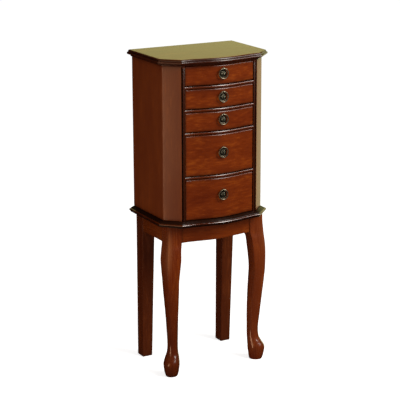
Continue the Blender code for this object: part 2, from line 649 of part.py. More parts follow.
# ------------------------------------------------------------------ stand
def build_front_leg(side, word):
    """A cabriole leg: sections along the leg, each carried outwards along the diagonal."""
    centre = Vector((side * (POST_X - FRONT_POST / 2), FRONT_POST_Y + FRONT_POST / 2, 0))
    along = Vector((side, -1, 0)).normalized()
    across = Vector((1, side, 0)).normalized()
    rings = []
    for share, carried, half_along, half_across, roundness in reversed(CABRIOLE):
        height = Vector((0, 0, share * POST_TOP))
        power = 2 / roundness
        ring = []
        for u, v in circle(1, LEG_STEPS):
            reach = math.copysign(abs(u) ** power, u) * half_along + carried
            width = math.copysign(abs(v) ** power, v) * half_across
            ring.append(centre + height + along * reach + across * width)
        rings.append(ring)
    leg = loft(f"{word}_front_leg", rings, CHERRY)
    leg.data.shade_smooth()
    leg.data.set_sharp_from_angle(angle=math.radians(35))


def build_rear_leg(side, word):
    """A square leg, straight beside the aprons, then tapered and raked back to its foot."""
    def square(outside, width, rear, depth, z):
        near, far = side * (outside - width), side * outside
        return [(near, rear - depth, z), (far, rear - depth, z), (far, rear, z), (near, rear, z)]
    rings = [square(REAR_FOOT_X, REAR_FOOT_WIDTH, BACK_Y + REAR_RAKE, REAR_FOOT_DEPTH, 0.0),
             square(POST_X, REAR_POST_WIDTH, BACK_Y, REAR_POST_DEPTH, APRON_BOTTOM),
             square(POST_X, REAR_POST_WIDTH, BACK_Y, REAR_POST_DEPTH, POST_TOP)]
    loft(f"{word}_rear_leg", rings, DARK_CHERRY)


def build_aprons():
    """The four boards between the legs; the front one follows the serpentine."""
    inner_x = POST_X - FRONT_POST - CLEAR
    face = FRONT_POST_Y + APRON_INSET
    front = [(x, serpentine(x, inner_x, face, APRON_SWELL)) for x in spaced(-inner_x, inner_x, FRONT_STEPS)]
    back = [(inner_x, face + APRON_THICKNESS), (-inner_x, face + APRON_THICKNESS)]
    prism("front_apron", front + back, APRON_BOTTOM, POST_TOP, CHERRY)
    for side, word in ((-1, "left"), (1, "right")):
        outside = POST_X - APRON_INSET
        block(f"{word}_apron",
              (side * outside, FRONT_POST_Y + FRONT_POST + CLEAR, APRON_BOTTOM),
              (side * (outside - APRON_THICKNESS), BACK_Y - REAR_POST_DEPTH - CLEAR, POST_TOP),
              CHERRY)
    rear_x = POST_X - REAR_POST_WIDTH - CLEAR
    block("rear_apron", (-rear_x, BACK_Y - APRON_INSET - APRON_THICKNESS, APRON_BOTTOM),
          (rear_x, BACK_Y - APRON_INSET, POST_TOP), DARK_CHERRY)


def main():
    """Builds the armoire from the case out."""
    clear_scene()
    back_panel = build_case_boards()
    build_stiles()
    build_rails()
    build_top_frame()
    build_tray()

    lid_pivot = pivot("lid_pivot", LID_PIVOT)
    lid = build_lid(lid_pivot)
    along_x = Matrix(((0, 0, 1), (-1, 0, 0), (0, -1, 0)))
    for side, word in ((-1, "left"), (1, "right")):
        place = (side * LID_HINGE_X, LID_PIVOT.y, LID_PIVOT.z)
        mortise = butt_hinge(f"lid_{word}_hinge", place, along_x, LID_HINGE_LENGTH, lid_pivot)
        combine(lid, mortise, "DIFFERENCE")
        combine(back_panel, mortise, "DIFFERENCE")

    for side, word in ((-1, "left"), (1, "right")):
        axis_x, axis_y = side * DOOR_JOINT_X, BACK_Y + BARREL_CENTRE
        door_pivot = pivot(f"{word}_door_pivot", (axis_x, axis_y, DOOR_BOTTOM))
        door = build_door(side, word, door_pivot)
        turn = Matrix(((0, -side, 0), (-1, 0, 0), (0, 0, -side)))
        for level, height in (("lower", DOOR_BOTTOM + DOOR_HINGE_END), ("upper", DOOR_TOP - DOOR_HINGE_END)):
            place = (axis_x, axis_y, height)
            mortise = butt_hinge(f"{word}_door_{level}_hinge", place, turn, DOOR_HINGE_LENGTH, door_pivot)
            combine(door, mortise, "DIFFERENCE")
            combine(back_panel, mortise, "DIFFERENCE")

    for number, span in enumerate(opening_spans(), start=1):
        slide = pivot(f"drawer_{number}_slide", (0, FACE_Y, (span[0] + span[1]) / 2))
        build_drawer(number, span, slide)

    for side, word in ((-1, "left"), (1, "right")):
        build_front_leg(side, word)
        build_rear_leg(side, word)
    build_aprons()


main()
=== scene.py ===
"""Jewelry armoire: the finished look of a five-drawer cabinet with side doors, on cabriole legs.

Metres, +Z up, the front faces -Y.  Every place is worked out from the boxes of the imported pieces.
"""

from __future__ import annotations

import logging
import math
from collections.abc import Callable, Sequence
from dataclasses import dataclass, field
from enum import Enum

import bmesh
import bpy
import numpy as np
from mathutils import Euler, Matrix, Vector


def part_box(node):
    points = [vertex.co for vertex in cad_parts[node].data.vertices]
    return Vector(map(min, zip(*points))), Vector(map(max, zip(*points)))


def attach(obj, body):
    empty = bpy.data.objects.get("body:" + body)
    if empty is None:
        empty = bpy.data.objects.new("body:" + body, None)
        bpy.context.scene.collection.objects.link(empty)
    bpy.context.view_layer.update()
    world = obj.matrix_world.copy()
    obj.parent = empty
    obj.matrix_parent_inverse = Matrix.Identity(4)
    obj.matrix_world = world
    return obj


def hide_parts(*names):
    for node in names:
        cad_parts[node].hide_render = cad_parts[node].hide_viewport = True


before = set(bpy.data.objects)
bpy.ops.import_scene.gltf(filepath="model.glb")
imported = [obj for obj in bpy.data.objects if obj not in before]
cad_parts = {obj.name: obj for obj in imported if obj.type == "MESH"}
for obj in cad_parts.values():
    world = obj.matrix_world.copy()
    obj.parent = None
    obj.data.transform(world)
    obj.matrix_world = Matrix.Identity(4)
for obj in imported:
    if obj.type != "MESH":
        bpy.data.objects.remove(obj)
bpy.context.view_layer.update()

Array = np.ndarray
Colour = tuple[float, float, float]
log = logging.getLogger("armoire")

CLEAR = 0.0003                # gap kept between pieces that touch
MITRE = math.tan(math.radians(22.5))
SIDES = ((-1, "left"), (1, "right"))
FELT, FELT_EASE, FELT_GAP = 0.0016, 0.0006, 0.0004
GLAZE_WEAR_AND_PAINTED_LIGHT = "glaze"               # vertex attribute: 1 dark, from glaze in the hollows and painted shade; below 0 lighter, from wear on the edges and painted highlights


# ------------------------------------------------------------------ shader wrapping
class Term:
    """One output socket of a recipe, so that shader maths reads like ordinary maths."""

    def __init__(self, recipe: Recipe, socket: bpy.types.NodeSocket) -> None:
        """Wraps a socket of a recipe."""
        self.recipe = recipe
        self.socket = socket

    def _maths(self, operation: str, *operands: Term | float, clamp: bool = False) -> Term:
        """Adds a Math node.

        Args:
            operation: the node's operation.
            operands: its values or links, in order.
            clamp: whether its result is kept between 0 and 1.

        Returns:
            The node's result.
        """
        settings = {"operation": operation, "use_clamp": clamp}
        return self.recipe.node("ShaderNodeMath", settings, dict(enumerate(operands)))

    def __add__(self, other: Term | float) -> Term:
        """Sum."""
        return self._maths("ADD", self, other)

    def __radd__(self, other: float) -> Term:
        """Sum with a number on the left."""
        return self._maths("ADD", other, self)

    def __sub__(self, other: Term | float) -> Term:
        """Difference."""
        return self._maths("SUBTRACT", self, other)

    def __rsub__(self, other: float) -> Term:
        """Difference from a number."""
        return self._maths("SUBTRACT", other, self)

    def __mul__(self, other: Term | float) -> Term:
        """Product."""
        return self._maths("MULTIPLY", self, other)

    def __rmul__(self, other: float) -> Term:
        """Product with a number on the left."""
        return self._maths("MULTIPLY", other, self)

    def clamped(self) -> Term:
        """The value kept between 0 and 1."""
        return self._maths("ADD", self, 0.0, clamp=True)

    def eased(self, low: float, high: float) -> Term:
        """A smooth step from 0 at low to 1 at high."""
        return self.recipe.node("ShaderNodeMapRange", {"interpolation_type": "SMOOTHSTEP"},
                                {"Value": self, "From Min": low, "From Max": high})


class Recipe:
    """The nodes of one material, all added through one method."""

    def __init__(self, name: str) -> None:
        """Starts an empty material with a Principled shader."""
        self.material = bpy.data.materials.new(name)
        self.material.use_nodes = True
        self.tree = self.material.node_tree
        self.shader = self.tree.nodes["Principled BSDF"]

    def node(self, kind: str, settings: dict[str, object], sockets: dict[str | int, object],
             output: str | int = 0) -> Term:
        """Adds a node.

        Args:
            kind: the node's type.
            settings: its properties, which are set first.
            sockets: values or links of its inputs, by name or number.
            output: the output that is wanted.

        Returns:
            That output.
        """
        made = self.tree.nodes.new(kind)
        for key, value in settings.items():
            setattr(made, key, value)
        for key, value in sockets.items():
            self._feed(made.inputs[key], value)
        return Term(self, made.outputs[output])

    def _feed(self, target: bpy.types.NodeSocket, value: object) -> None:
        """Links a term to an input, or sets the input's own value."""
        if isinstance(value, Term):
            self.tree.links.new(value.socket, target)
        elif isinstance(value, tuple) and len(value) == 3 and target.type == "RGBA":
            target.default_value = (*value, 1.0)
        else:
            target.default_value = value

    def noise(self, stretch: Colour, detail: float = 3.0, roughness: float = 0.55,
              distortion: float = 0.0, shift: Colour = (0.0, 0.0, 0.0)) -> Term:
        """Noise on the object's own coordinates.

        Args:
            stretch: how many noise cells there are in a metre along X, Y and Z.
            detail: finer layers added.
            roughness: strength of those layers.
            distortion: how much the pattern is bent.
            shift: offset of the pattern, in cells.

        Returns:
            A value round one half.
        """
        place = self.node("ShaderNodeTexCoord", {}, {}, "Object")
        placed = self.node("ShaderNodeMapping", {}, {"Vector": place, "Scale": stretch, "Location": shift})
        return self.node("ShaderNodeTexNoise", {}, {"Vector": placed, "Scale": 1.0, "Detail": detail,
                                                    "Roughness": roughness, "Distortion": distortion})

    def glaze(self) -> Term:
        """The piece's own attribute of glaze, wear, painted shade and painted highlights, which is 0 where a
        piece has none.
        """
        return self.node("ShaderNodeAttribute", {"attribute_name": GLAZE_WEAR_AND_PAINTED_LIGHT}, {}, "Fac")

    def mix(self, share: Term | float, first: Term | Colour, second: Term | Colour) -> Term:
        """A colour between two others."""
        return self.node("ShaderNodeMix", {"data_type": "RGBA", "clamp_factor": True},
                         {0: share, 6: first, 7: second}, 2)

    def finish(self, values: dict[str, object], height: Term | None = None, strength: float = 0.1,
               distance: float = 0.0005) -> bpy.types.Material:
        """Sets the Principled shader.

        Args:
            values: values or links of the shader's inputs.
            height: relief that feeds the normal through a Bump node.
            strength: the bump's strength.
            distance: the relief's depth in metres.

        Returns:
            The material.
        """
        for key, value in values.items():
            self._feed(self.shader.inputs[key], value)
        if height is not None:
            bump = self.node("ShaderNodeBump", {},
                             {"Strength": strength, "Distance": distance, "Height": height})
            self._feed(self.shader.inputs["Normal"], bump)
        return self.material


class Grain(Enum):
    """The direction of a board's grain, as the axis that it runs along."""

    ACROSS = 0
    DEPTHWISE = 1
    UPRIGHT = 2

    def stretch(self, along: float, across: float) -> Colour:
        """Noise cells in a metre on each axis, few along the grain and many across it."""
        cells = [across] * 3
        cells[self.value] = along
        return tuple(cells)


# ------------------------------------------------------------------ finishes
@dataclass(frozen=True)
class CherryVarnish:
    """Cherry under a wiping stain, a dark glaze in the hollows with painted shade, lighter wear with painted
    highlights, and a satin lacquer.

    glaze_and_shade_all_over is glaze and painted shade over the whole piece, figured the contrast of the
    wood's figure, and dull the share of the lacquer that the glaze and painted shade of the attribute hide.
    """

    name: str
    grain: Grain
    deep: Colour = (0.118, 0.0135, 0.0012)
    warm: Colour = (0.212, 0.0310, 0.0018)
    light: Colour = (0.305, 0.0610, 0.0036)
    worn_and_highlight: Colour = (0.360, 0.1150, 0.0360)
    glaze_and_shade_colour: Colour = (0.0170, 0.0052, 0.0022)
    glaze_and_shade_all_over: float = 0.0
    figured: float = 0.62
    gloss: float = 0.25
    lacquer: float = 0.40
    sheen: float = 0.4
    coat_ior: float = 1.5
    coat_rough: float = 0.10
    dull: float = 0.0

    def build(self) -> bpy.types.Material:
        """Broad figure and fine streaks along the grain, short dark pores, then the glaze and wear with
        painted shade and painted highlights.
        """
        mix = Recipe(self.name)
        figure = mix.noise(self.grain.stretch(5.0, 24.0), 3.0, 0.55, 0.15)
        mottle = mix.noise(self.grain.stretch(26.0, 140.0), 3.0, 0.6, 0.1, (9.2, 4.4, 6.1))
        streaks = mix.noise(self.grain.stretch(9.0, 230.0), 3.0, 0.62, 0.15, (3.1, 7.7, 5.3))
        pores = mix.noise(self.grain.stretch(70.0, 1500.0), 2.0, 0.5, 0.0, (1.7, 2.9, 8.3)).eased(0.60, 0.72)
        lacquer = mix.noise((260.0, 260.0, 260.0), 2.0, 0.5)
        tone = figure * 0.48 + mottle * 0.24 + streaks * 0.28
        wood = mix.mix(((tone - 0.5) * self.figured * 4.2 + 0.62).clamped(), self.deep, self.warm)
        wood = mix.mix((tone + mottle * 0.3 - 0.15).eased(0.50, 0.72) * self.figured, wood, self.light)
        wood = mix.mix(pores * 0.42, wood, self.deep)
        glaze = mix.glaze()
        # Lighter colour where the attribute is below 0: wear, and painted highlights on the front legs and
        # the doors' outer corners.
        wood = mix.mix((glaze * -1.0).clamped() * (0.45 + streaks * 0.5), wood, self.worn_and_highlight)
        # Near-black colour where the attribute is above 0, and over whole pieces: glaze, and painted shade.
        wood = mix.mix((glaze.clamped() + self.glaze_and_shade_all_over) * (0.72 + streaks * 0.42), wood, self.glaze_and_shade_colour)
        rough = self.gloss + streaks * 0.10 + pores * 0.12 + lacquer * 0.05 - 0.075
        relief = streaks * 0.35 + lacquer * 0.5 - pores * 0.8
        coat = self.lacquer - glaze.clamped() * (self.lacquer * self.dull) if self.dull else self.lacquer
        return mix.finish({"Base Color": wood, "Roughness": rough, "Coat Weight": coat,
                           "Coat Roughness": self.coat_rough, "Coat IOR": self.coat_ior, "IOR": 1.48,
                           "Specular IOR Level": self.sheen}, relief, 0.07, 0.0004)


@dataclass(frozen=True)
class LiningWood:
    """Pale unlacquered wood of the drawer boxes and the tray."""

    name: str
    grain: Grain
    shade: Colour = (0.300, 0.155, 0.070)
    light: Colour = (0.430, 0.262, 0.140)
    pore: Colour = (0.160, 0.075, 0.032)

    def build(self) -> bpy.types.Material:
        """Straight streaks on a broad drift of tone, with fine pores."""
        mix = Recipe(self.name)
        drift = mix.noise(self.grain.stretch(4.0, 30.0), 3.0, 0.6, 0.5)
        streaks = mix.noise(self.grain.stretch(14.0, 420.0), 3.0, 0.6)
        pores = mix.noise(self.grain.stretch(80.0, 1700.0), 2.0, 0.5, 0.0, (4.0, 1.0, 2.0)).eased(0.60, 0.74)
        tone = (drift * 0.55 + streaks * 0.45).eased(0.32, 0.68)
        wood = mix.mix(pores * 0.5, mix.mix(tone, self.shade, self.light), self.pore)
        rough = 0.52 + streaks * 0.16
        relief = streaks * 0.6 - pores * 0.7
        return mix.finish({"Base Color": wood, "Roughness": rough}, relief, 0.18, 0.0004)


@dataclass(frozen=True)
class Felt:
    """Short-napped champagne felt that lines the compartments."""

    name: str
    shade: Colour = (0.330, 0.250, 0.160)
    nap: Colour = (0.520, 0.425, 0.300)

    def build(self) -> bpy.types.Material:
        """Matted fibres at two scales over soft patches where the nap lies another way."""
        mix = Recipe(self.name)
        patches = mix.noise((34.0, 34.0, 34.0), 3.0, 0.6, 0.8)
        fibres = mix.noise((1500.0, 900.0, 1200.0), 3.0, 0.7, 1.6)
        tufts = mix.noise((420.0, 420.0, 420.0), 3.0, 0.65, 0.6)
        tone = (patches * 0.35 + tufts * 0.35 + fibres * 0.3).eased(0.34, 0.66)
        cloth = mix.mix(tone, self.shade, self.nap)
        rough = 0.86 + fibres * 0.12
        return mix.finish({"Base Color": cloth, "Roughness": rough, "Sheen Weight": 0.45,
                           "Sheen Roughness": 0.5, "Sheen Tint": (0.9, 0.82, 0.7),
                           "Specular IOR Level": 0.2},
                          fibres * 0.6 + tufts * 0.5, 0.45, 0.0006)


@dataclass(frozen=True)
class AgedMetal:
    """Cast or pressed brass, blackened in its hollows and brighter on its high spots, from wear and, on the
    eye of a pull, a painted highlight.
    """

    name: str
    dark: Colour
    bright: Colour
    tarnish: Colour
    gloss: float
    wear_and_highlight: float

    def build(self) -> bpy.types.Material:
        """Blotches of tarnish over a metal that is brighter where the glaze is thin."""
        mix = Recipe(self.name)
        blotches = mix.noise((260.0, 260.0, 260.0), 4.0, 0.65, 0.6)
        grit = mix.noise((1300.0, 1300.0, 1300.0), 3.0, 0.6)
        glaze = mix.glaze()
        shine = (blotches.eased(0.40, 0.62) * 0.55 + self.wear_and_highlight - glaze * 0.9 + grit * 0.18).clamped()
        metal = mix.mix(shine, self.dark, self.bright)
        metal = mix.mix(grit.eased(0.52, 0.68) * 0.45, metal, self.tarnish)
        rough = self.gloss + grit * 0.16 - shine * 0.10
        metallic = 0.72 + shine * 0.25
        return mix.finish({"Base Color": metal, "Roughness": rough, "Metallic": metallic},
                          blotches * 0.7 + grit * 0.5, 0.22, 0.0004)


@dataclass(frozen=True)
class SilveredGlass:
    """The mirror let into the lid."""

    name: str

    def build(self) -> bpy.types.Material:
        """Silver with a faint drift of tone and a trace of wiped dust."""
        mix = Recipe(self.name)
        haze = mix.noise((18.0, 50.0, 18.0), 4.0, 0.6, 0.7)
        silver = mix.mix(haze.eased(0.35, 0.7), (0.86, 0.88, 0.88), (0.93, 0.94, 0.94))
        rough = 0.015 + haze.eased(0.5, 0.8) * 0.05
        return mix.finish({"Base Color": silver, "Metallic": 0.72, "Roughness": rough})


class Finishes:
    """Every finish of the armoire, built once."""

    def __init__(self) -> None:
        """Builds the materials."""
        # A darker copy of the cherry for the rear legs and the boards at the back and inside: painted shade.
        shaded_tones = {"deep": (0.066, 0.0105, 0.0020), "warm": (0.118, 0.0220, 0.0040),
                "light": (0.175, 0.0380, 0.0070)}
        self.drawer = CherryVarnish("cherry_drawer_fronts", Grain.ACROSS, figured=0.9, dull=0.9,
                                    warm=(0.228, 0.0350, 0.0020)).build()
        self.upright = CherryVarnish("cherry_doors", Grain.UPRIGHT, gloss=0.34, lacquer=0.35, figured=0.4,
                                     warm=(0.222, 0.0445, 0.0036)).build()
        self.lid = CherryVarnish("cherry_lid", Grain.ACROSS, gloss=0.31, lacquer=0.55, sheen=0.5).build()
        # The base board, rails and stiles are darkened all over, partly glaze and partly painted shade; on
        # the base board it stands in for the dark reflection on its slopes.
        self.base = CherryVarnish("cherry_base_board", Grain.ACROSS, gloss=0.30, glaze_and_shade_all_over=0.5, dull=1.0,
                                  lacquer=1.0, coat_ior=2.4, sheen=0.15).build()
        self.rail = CherryVarnish("cherry_rails", Grain.ACROSS, gloss=0.24, glaze_and_shade_all_over=0.5, lacquer=0.9,
                                  coat_ior=1.6, sheen=0.5).build()
        self.stile = CherryVarnish("cherry_stiles", Grain.UPRIGHT, lacquer=0.3, glaze_and_shade_all_over=0.85).build()
        self.leg = CherryVarnish("cherry_front_legs", Grain.UPRIGHT, gloss=0.27, lacquer=1.0, coat_ior=1.75,
                                 coat_rough=0.08).build()
        self.rear_leg = CherryVarnish("cherry_rear_legs_painted_shade", Grain.UPRIGHT, **shaded_tones).build()
        # A lighter copy of the cherry for the front and rear aprons: painted light that lifts the shade under
        # the base board.
        self.apron = CherryVarnish("cherry_front_apron_painted_light", Grain.ACROSS, warm=(0.265, 0.0450, 0.0028)).build()
        # A darker copy of the cherry for the side aprons: painted shade.
        self.side_apron = CherryVarnish("cherry_side_aprons_painted_shade", Grain.DEPTHWISE,
                                        warm=(0.180, 0.0360, 0.0024)).build()
        self.back = CherryVarnish("cherry_back_boards_painted_shade", Grain.UPRIGHT, gloss=0.42, lacquer=0.2,
                                  **shaded_tones).build()
        self.lining = LiningWood("lining_wood_across", Grain.ACROSS).build()
        self.lining_side = LiningWood("lining_wood_depthwise", Grain.DEPTHWISE).build()
        self.felt = Felt("champagne_felt").build()
        self.velvet = Felt("ring_roll_velvet", (0.300, 0.215, 0.130), (0.500, 0.400, 0.280)).build()
        self.plate = AgedMetal("blackened_plate", (0.020, 0.017, 0.012), (0.210, 0.190, 0.130),
                               (0.060, 0.070, 0.045), 0.38, 0.05).build()
        self.ring = AgedMetal("antique_brass_ring", (0.090, 0.072, 0.045), (0.400, 0.330, 0.225),
                              (0.160, 0.140, 0.080), 0.34, 0.45).build()
        self.hinge = AgedMetal("aged_brass_hinge", (0.150, 0.105, 0.045), (0.480, 0.360, 0.170),
                               (0.120, 0.085, 0.040), 0.36, 0.35).build()
        self.mirror = SilveredGlass("silvered_glass").build()


# ------------------------------------------------------------------ surfaces
@dataclass
class Shell:
    """Vertices, faces and the glaze, wear, painted shade and painted highlights at each vertex of one or more
    closed surfaces.
    """

    vertices: Array
    faces: list[tuple[int, ...]]
    glaze: Array

    def moved(self, change: Callable[[Array], Array]) -> Shell:
        """The same surface with its vertices passed through a function."""
        return Shell(change(self.vertices), self.faces, self.glaze)


def carried(rings: Array, glaze: Array | float = 0.0, ring_closed: bool = True, capped: bool = True,
            path_closed: bool = False) -> Shell:
    """A surface of quads through rings of points, as a grid of path step against ring step.

    Args:
        rings: points, path steps by ring steps by 3.
        glaze: one value, or one for each point.
        ring_closed: whether each ring's last point joins its first.
        capped: whether the first and last rings are closed with a face.
        path_closed: whether the last ring joins the first.

    Returns:
        The surface.
    """
    levels, count = rings.shape[:2]
    number = np.arange(levels * count).reshape(levels, count)
    if path_closed:
        number = np.vstack([number, number[:1]])
    if ring_closed:
        number = np.hstack([number, number[:, :1]])
    quads = np.stack([number[:-1, :-1], number[:-1, 1:], number[1:, 1:], number[1:, :-1]], -1)
    faces = [tuple(quad) for quad in quads.reshape(-1, 4).tolist()]
    if capped and not path_closed:
        faces.append(tuple(range(count))[::-1])
        faces.append(tuple(range((levels - 1) * count, levels * count)))
    shade = np.broadcast_to(glaze, (levels, count)).reshape(-1).astype(float)
    return Shell(rings.reshape(-1, 3), faces, shade)


def stacked(outlines: Sequence[Array], heights: Sequence[float]) -> Array:
    """Outlines in X and Y, one at each height, as rings of points."""
    return np.stack([np.column_stack([line, np.full(len(line), z)]) for line, z in zip(outlines, heights)])


def joined(shells: Sequence[Shell]) -> Shell:
    """Several surfaces as one."""
    starts = np.cumsum([0] + [len(s.vertices) for s in shells[:-1]]).tolist()
    faces = [tuple(i + start for i in face) for s, start in zip(shells, starts) for face in s.faces]
    glaze = np.concatenate([s.glaze for s in shells])
    return Shell(np.concatenate([s.vertices for s in shells]), faces, glaze)


def make_piece(name: str, shell: Shell, material: bpy.types.Material, body: str,
               replaces: Sequence[str] = (), sharp: float = 40.0) -> bpy.types.Object:
    """Puts a surface into a mesh object that rides on a body.

    Args:
        name: the piece's name.
        shell: its surface.
        material: its finish.
        body: the body that it rides on.
        replaces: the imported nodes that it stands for.
        sharp: edges that turn by more than this many degrees are shaded sharp.

    Returns:
        The object.
    """
    mesh = bpy.data.meshes.new(name)
    mesh.from_pydata(shell.vertices.tolist(), [], shell.faces)
    layer = mesh.attributes.new(GLAZE_WEAR_AND_PAINTED_LIGHT, "FLOAT", "POINT")
    layer.data.foreach_set("value", shell.glaze.astype(np.float32))
    tidy = bmesh.new()
    tidy.from_mesh(mesh)
    bmesh.ops.remove_doubles(tidy, verts=tidy.verts, dist=1e-6)
    bmesh.ops.recalc_face_normals(tidy, faces=tidy.faces)
    tidy.to_mesh(mesh)
    tidy.free()
    mesh.shade_smooth()
    mesh.set_sharp_from_angle(angle=math.radians(sharp))
    mesh.materials.append(material)
    piece = bpy.data.objects.new(name, mesh)
    bpy.context.collection.objects.link(piece)
    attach(piece, body)
    if replaces:
        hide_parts(*replaces)
    log.info("%s: %d faces, rides on %s", name, len(mesh.polygons), body)
    return piece


def dress(node: str, material: bpy.types.Material) -> None:
    """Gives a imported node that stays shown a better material."""
    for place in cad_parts[node].material_slots:
        place.material = material
    log.info("%s: kept, with %s", node, material.name)


def spaced(low: float, high: float, steps: int, crowd: float = 0.0) -> Array:
    """Values from low to high, crowded towards both ends by a sine: t - crowd * sin(2 pi t) / (2 pi)."""
    t = np.linspace(0.0, 1.0, steps + 1)
    return low + (high - low) * (t - crowd * np.sin(2 * np.pi * t) / (2 * np.pi))


def through(at: Array, knots: Array, values: Array) -> Array:
    """Values on a smooth curve through knots that never overshoots.

    Each piece is a cubic.  Its slope at a knot is the harmonic mean of the slopes on either side
    of the knot, or nought where those differ in sign.

    Args:
        at: places where values are wanted.
        knots: rising places of the given values.
        values: knots by columns.

    Returns:
        Places by columns.
    """
    step = np.diff(knots)[:, None]
    rise = np.diff(values, axis=0) / step
    product = rise[:-1] * rise[1:]
    total = rise[:-1] + rise[1:]
    inner = np.where(product > 0, 2 * product / np.where(product > 0, total, 1.0), 0.0)
    slope = np.concatenate([rise[:1], inner, rise[-1:]])
    k = np.clip(np.searchsorted(knots, at, side="right") - 1, 0, len(knots) - 2)
    t = (at - knots[k])[:, None] / step[k]
    start, end = values[k], values[k + 1]
    return ((1 + 2 * t) * (1 - t) ** 2 * start + t * (1 - t) ** 2 * step[k] * slope[k]
            + t ** 2 * (3 - 2 * t) * end + t ** 2 * (t - 1) * step[k] * slope[k + 1])


class Plan:
    """A closed outline in a plane, anticlockwise or clockwise."""

    def __init__(self, points: Array) -> None:
        """Keeps the outline's points, n by 2."""
        self.points = np.asarray(points, float)

    @classmethod
    def eased(cls, corners: Sequence[tuple[float, float]], radius: float | Sequence[float],
              steps: int = 5) -> Plan:
        """An outline whose corners are rounded.

        Each corner becomes a parabola from one point before it to one point after it, at the
        radius times the mitre: (1 - t)^2 before + 2 t (1 - t) corner + t^2 after.

        Args:
            corners: the outline's corners.
            radius: one rounding for all corners, or one for each.
            steps: straight pieces in each rounding.

        Returns:
            The outline.
        """
        middle = np.asarray(corners, float)
        size = np.broadcast_to(np.asarray(radius, float), len(middle))[:, None]
        before = np.roll(middle, 1, 0) - middle
        after = np.roll(middle, -1, 0) - middle
        first = middle + before / np.linalg.norm(before, axis=1, keepdims=True) * size
        last = middle + after / np.linalg.norm(after, axis=1, keepdims=True) * size
        t = np.linspace(0, 1, steps + 1)[None, :, None]
        curve = (1 - t) ** 2 * first[:, None] + 2 * t * (1 - t) * middle[:, None] + t ** 2 * last[:, None]
        return cls(curve.reshape(-1, 2))

    def inset(self, distance: float) -> Array:
        """The outline moved inwards: each point goes along the mitre of its two sides."""
        side = np.roll(self.points, -1, 0) - self.points
        length = np.maximum(np.linalg.norm(side, axis=1, keepdims=True), 1e-12)
        x, y = self.points.T
        turn = np.sign(np.sum(x * np.roll(y, -1) - np.roll(x, -1) * y))
        inward = np.stack([-side[:, 1], side[:, 0]], 1) / length * turn
        gone = length[:, 0] < 1e-9
        inward[gone] = np.roll(inward, 1, 0)[gone]
        last = np.roll(inward, 1, 0)
        share = 1 + np.sum(inward * last, 1, keepdims=True)
        return self.points + distance * (inward + last) / np.maximum(share, 0.3)


def lifted(plan: Plan, bottom: float, top: float, ease: float, steps: int = 4, levels: int = 1,
           glaze: Callable[[Array], Array] | float = 0.0) -> Shell:
    """A board: an outline carried up, with the rims of both ends rounded by quarter circles.

    At the rim the outline is inset by ease * (1 - sin a) at a height of ease * (1 - cos a) from
    the end, for a from nought to a right angle.

    Args:
        plan: the outline.
        bottom: the lower end.
        top: the upper end.
        ease: radius of the rims.
        steps: straight pieces in each rim.
        levels: pieces between the rims.
        glaze: one value, or a function of the points.

    Returns:
        The board, its outline in X and Y.
    """
    turn = np.linspace(0, np.pi / 2, steps + 1)
    insets, rises = ease * (1 - np.sin(turn)), ease * (1 - np.cos(turn))
    heights = [*(bottom + rises), *spaced(bottom + ease, top - ease, levels)[1:-1], *(top - rises[::-1])]
    shrink = [*insets, *([0.0] * (levels - 1)), *insets[::-1]]
    rings = stacked([plan.inset(distance) for distance in shrink], heights)
    return carried(rings, glaze(rings) if callable(glaze) else glaze)


def slab(low: Sequence[float], high: Sequence[float], ease: float, corner: float | None = None,
         glaze: Callable[[Array], Array] | float = 0.0) -> Shell:
    """A block with eased edges, from its lowest to its highest corner."""
    x0, x1 = sorted((low[0], high[0]))
    y0, y1 = sorted((low[1], high[1]))
    plan = Plan.eased([(x0, y0), (x1, y0), (x1, y1), (x0, y1)], ease if corner is None else corner, 4)
    return lifted(plan, low[2], high[2], ease, glaze=glaze)


def tube(path: Array, radius: Array | float, around: int = 12) -> Shell:
    """A round bar along a path that stays in an upright plane.

    Each ring is centre + r * (cos a * normal + sin a * sideways).

    Args:
        path: points, n by 3.
        radius: one radius, or one for each point.
        around: sides of the bar.

    Returns:
        The bar with closed ends.
    """
    ahead = np.gradient(path, axis=0)
    ahead /= np.linalg.norm(ahead, axis=1, keepdims=True)
    plane = np.cross(path[len(path) // 2] - path[0], path[-1] - path[0])
    plane = plane / np.linalg.norm(plane)
    normal = np.cross(ahead, plane)
    turn = np.linspace(0, 2 * np.pi, around, endpoint=False)
    reach = np.broadcast_to(radius, len(path))[:, None, None]
    out, sideways = np.cos(turn)[None, :, None], np.sin(turn)[None, :, None]
    return carried(path[:, None] + reach * (out * normal[:, None] + sideways * plane))


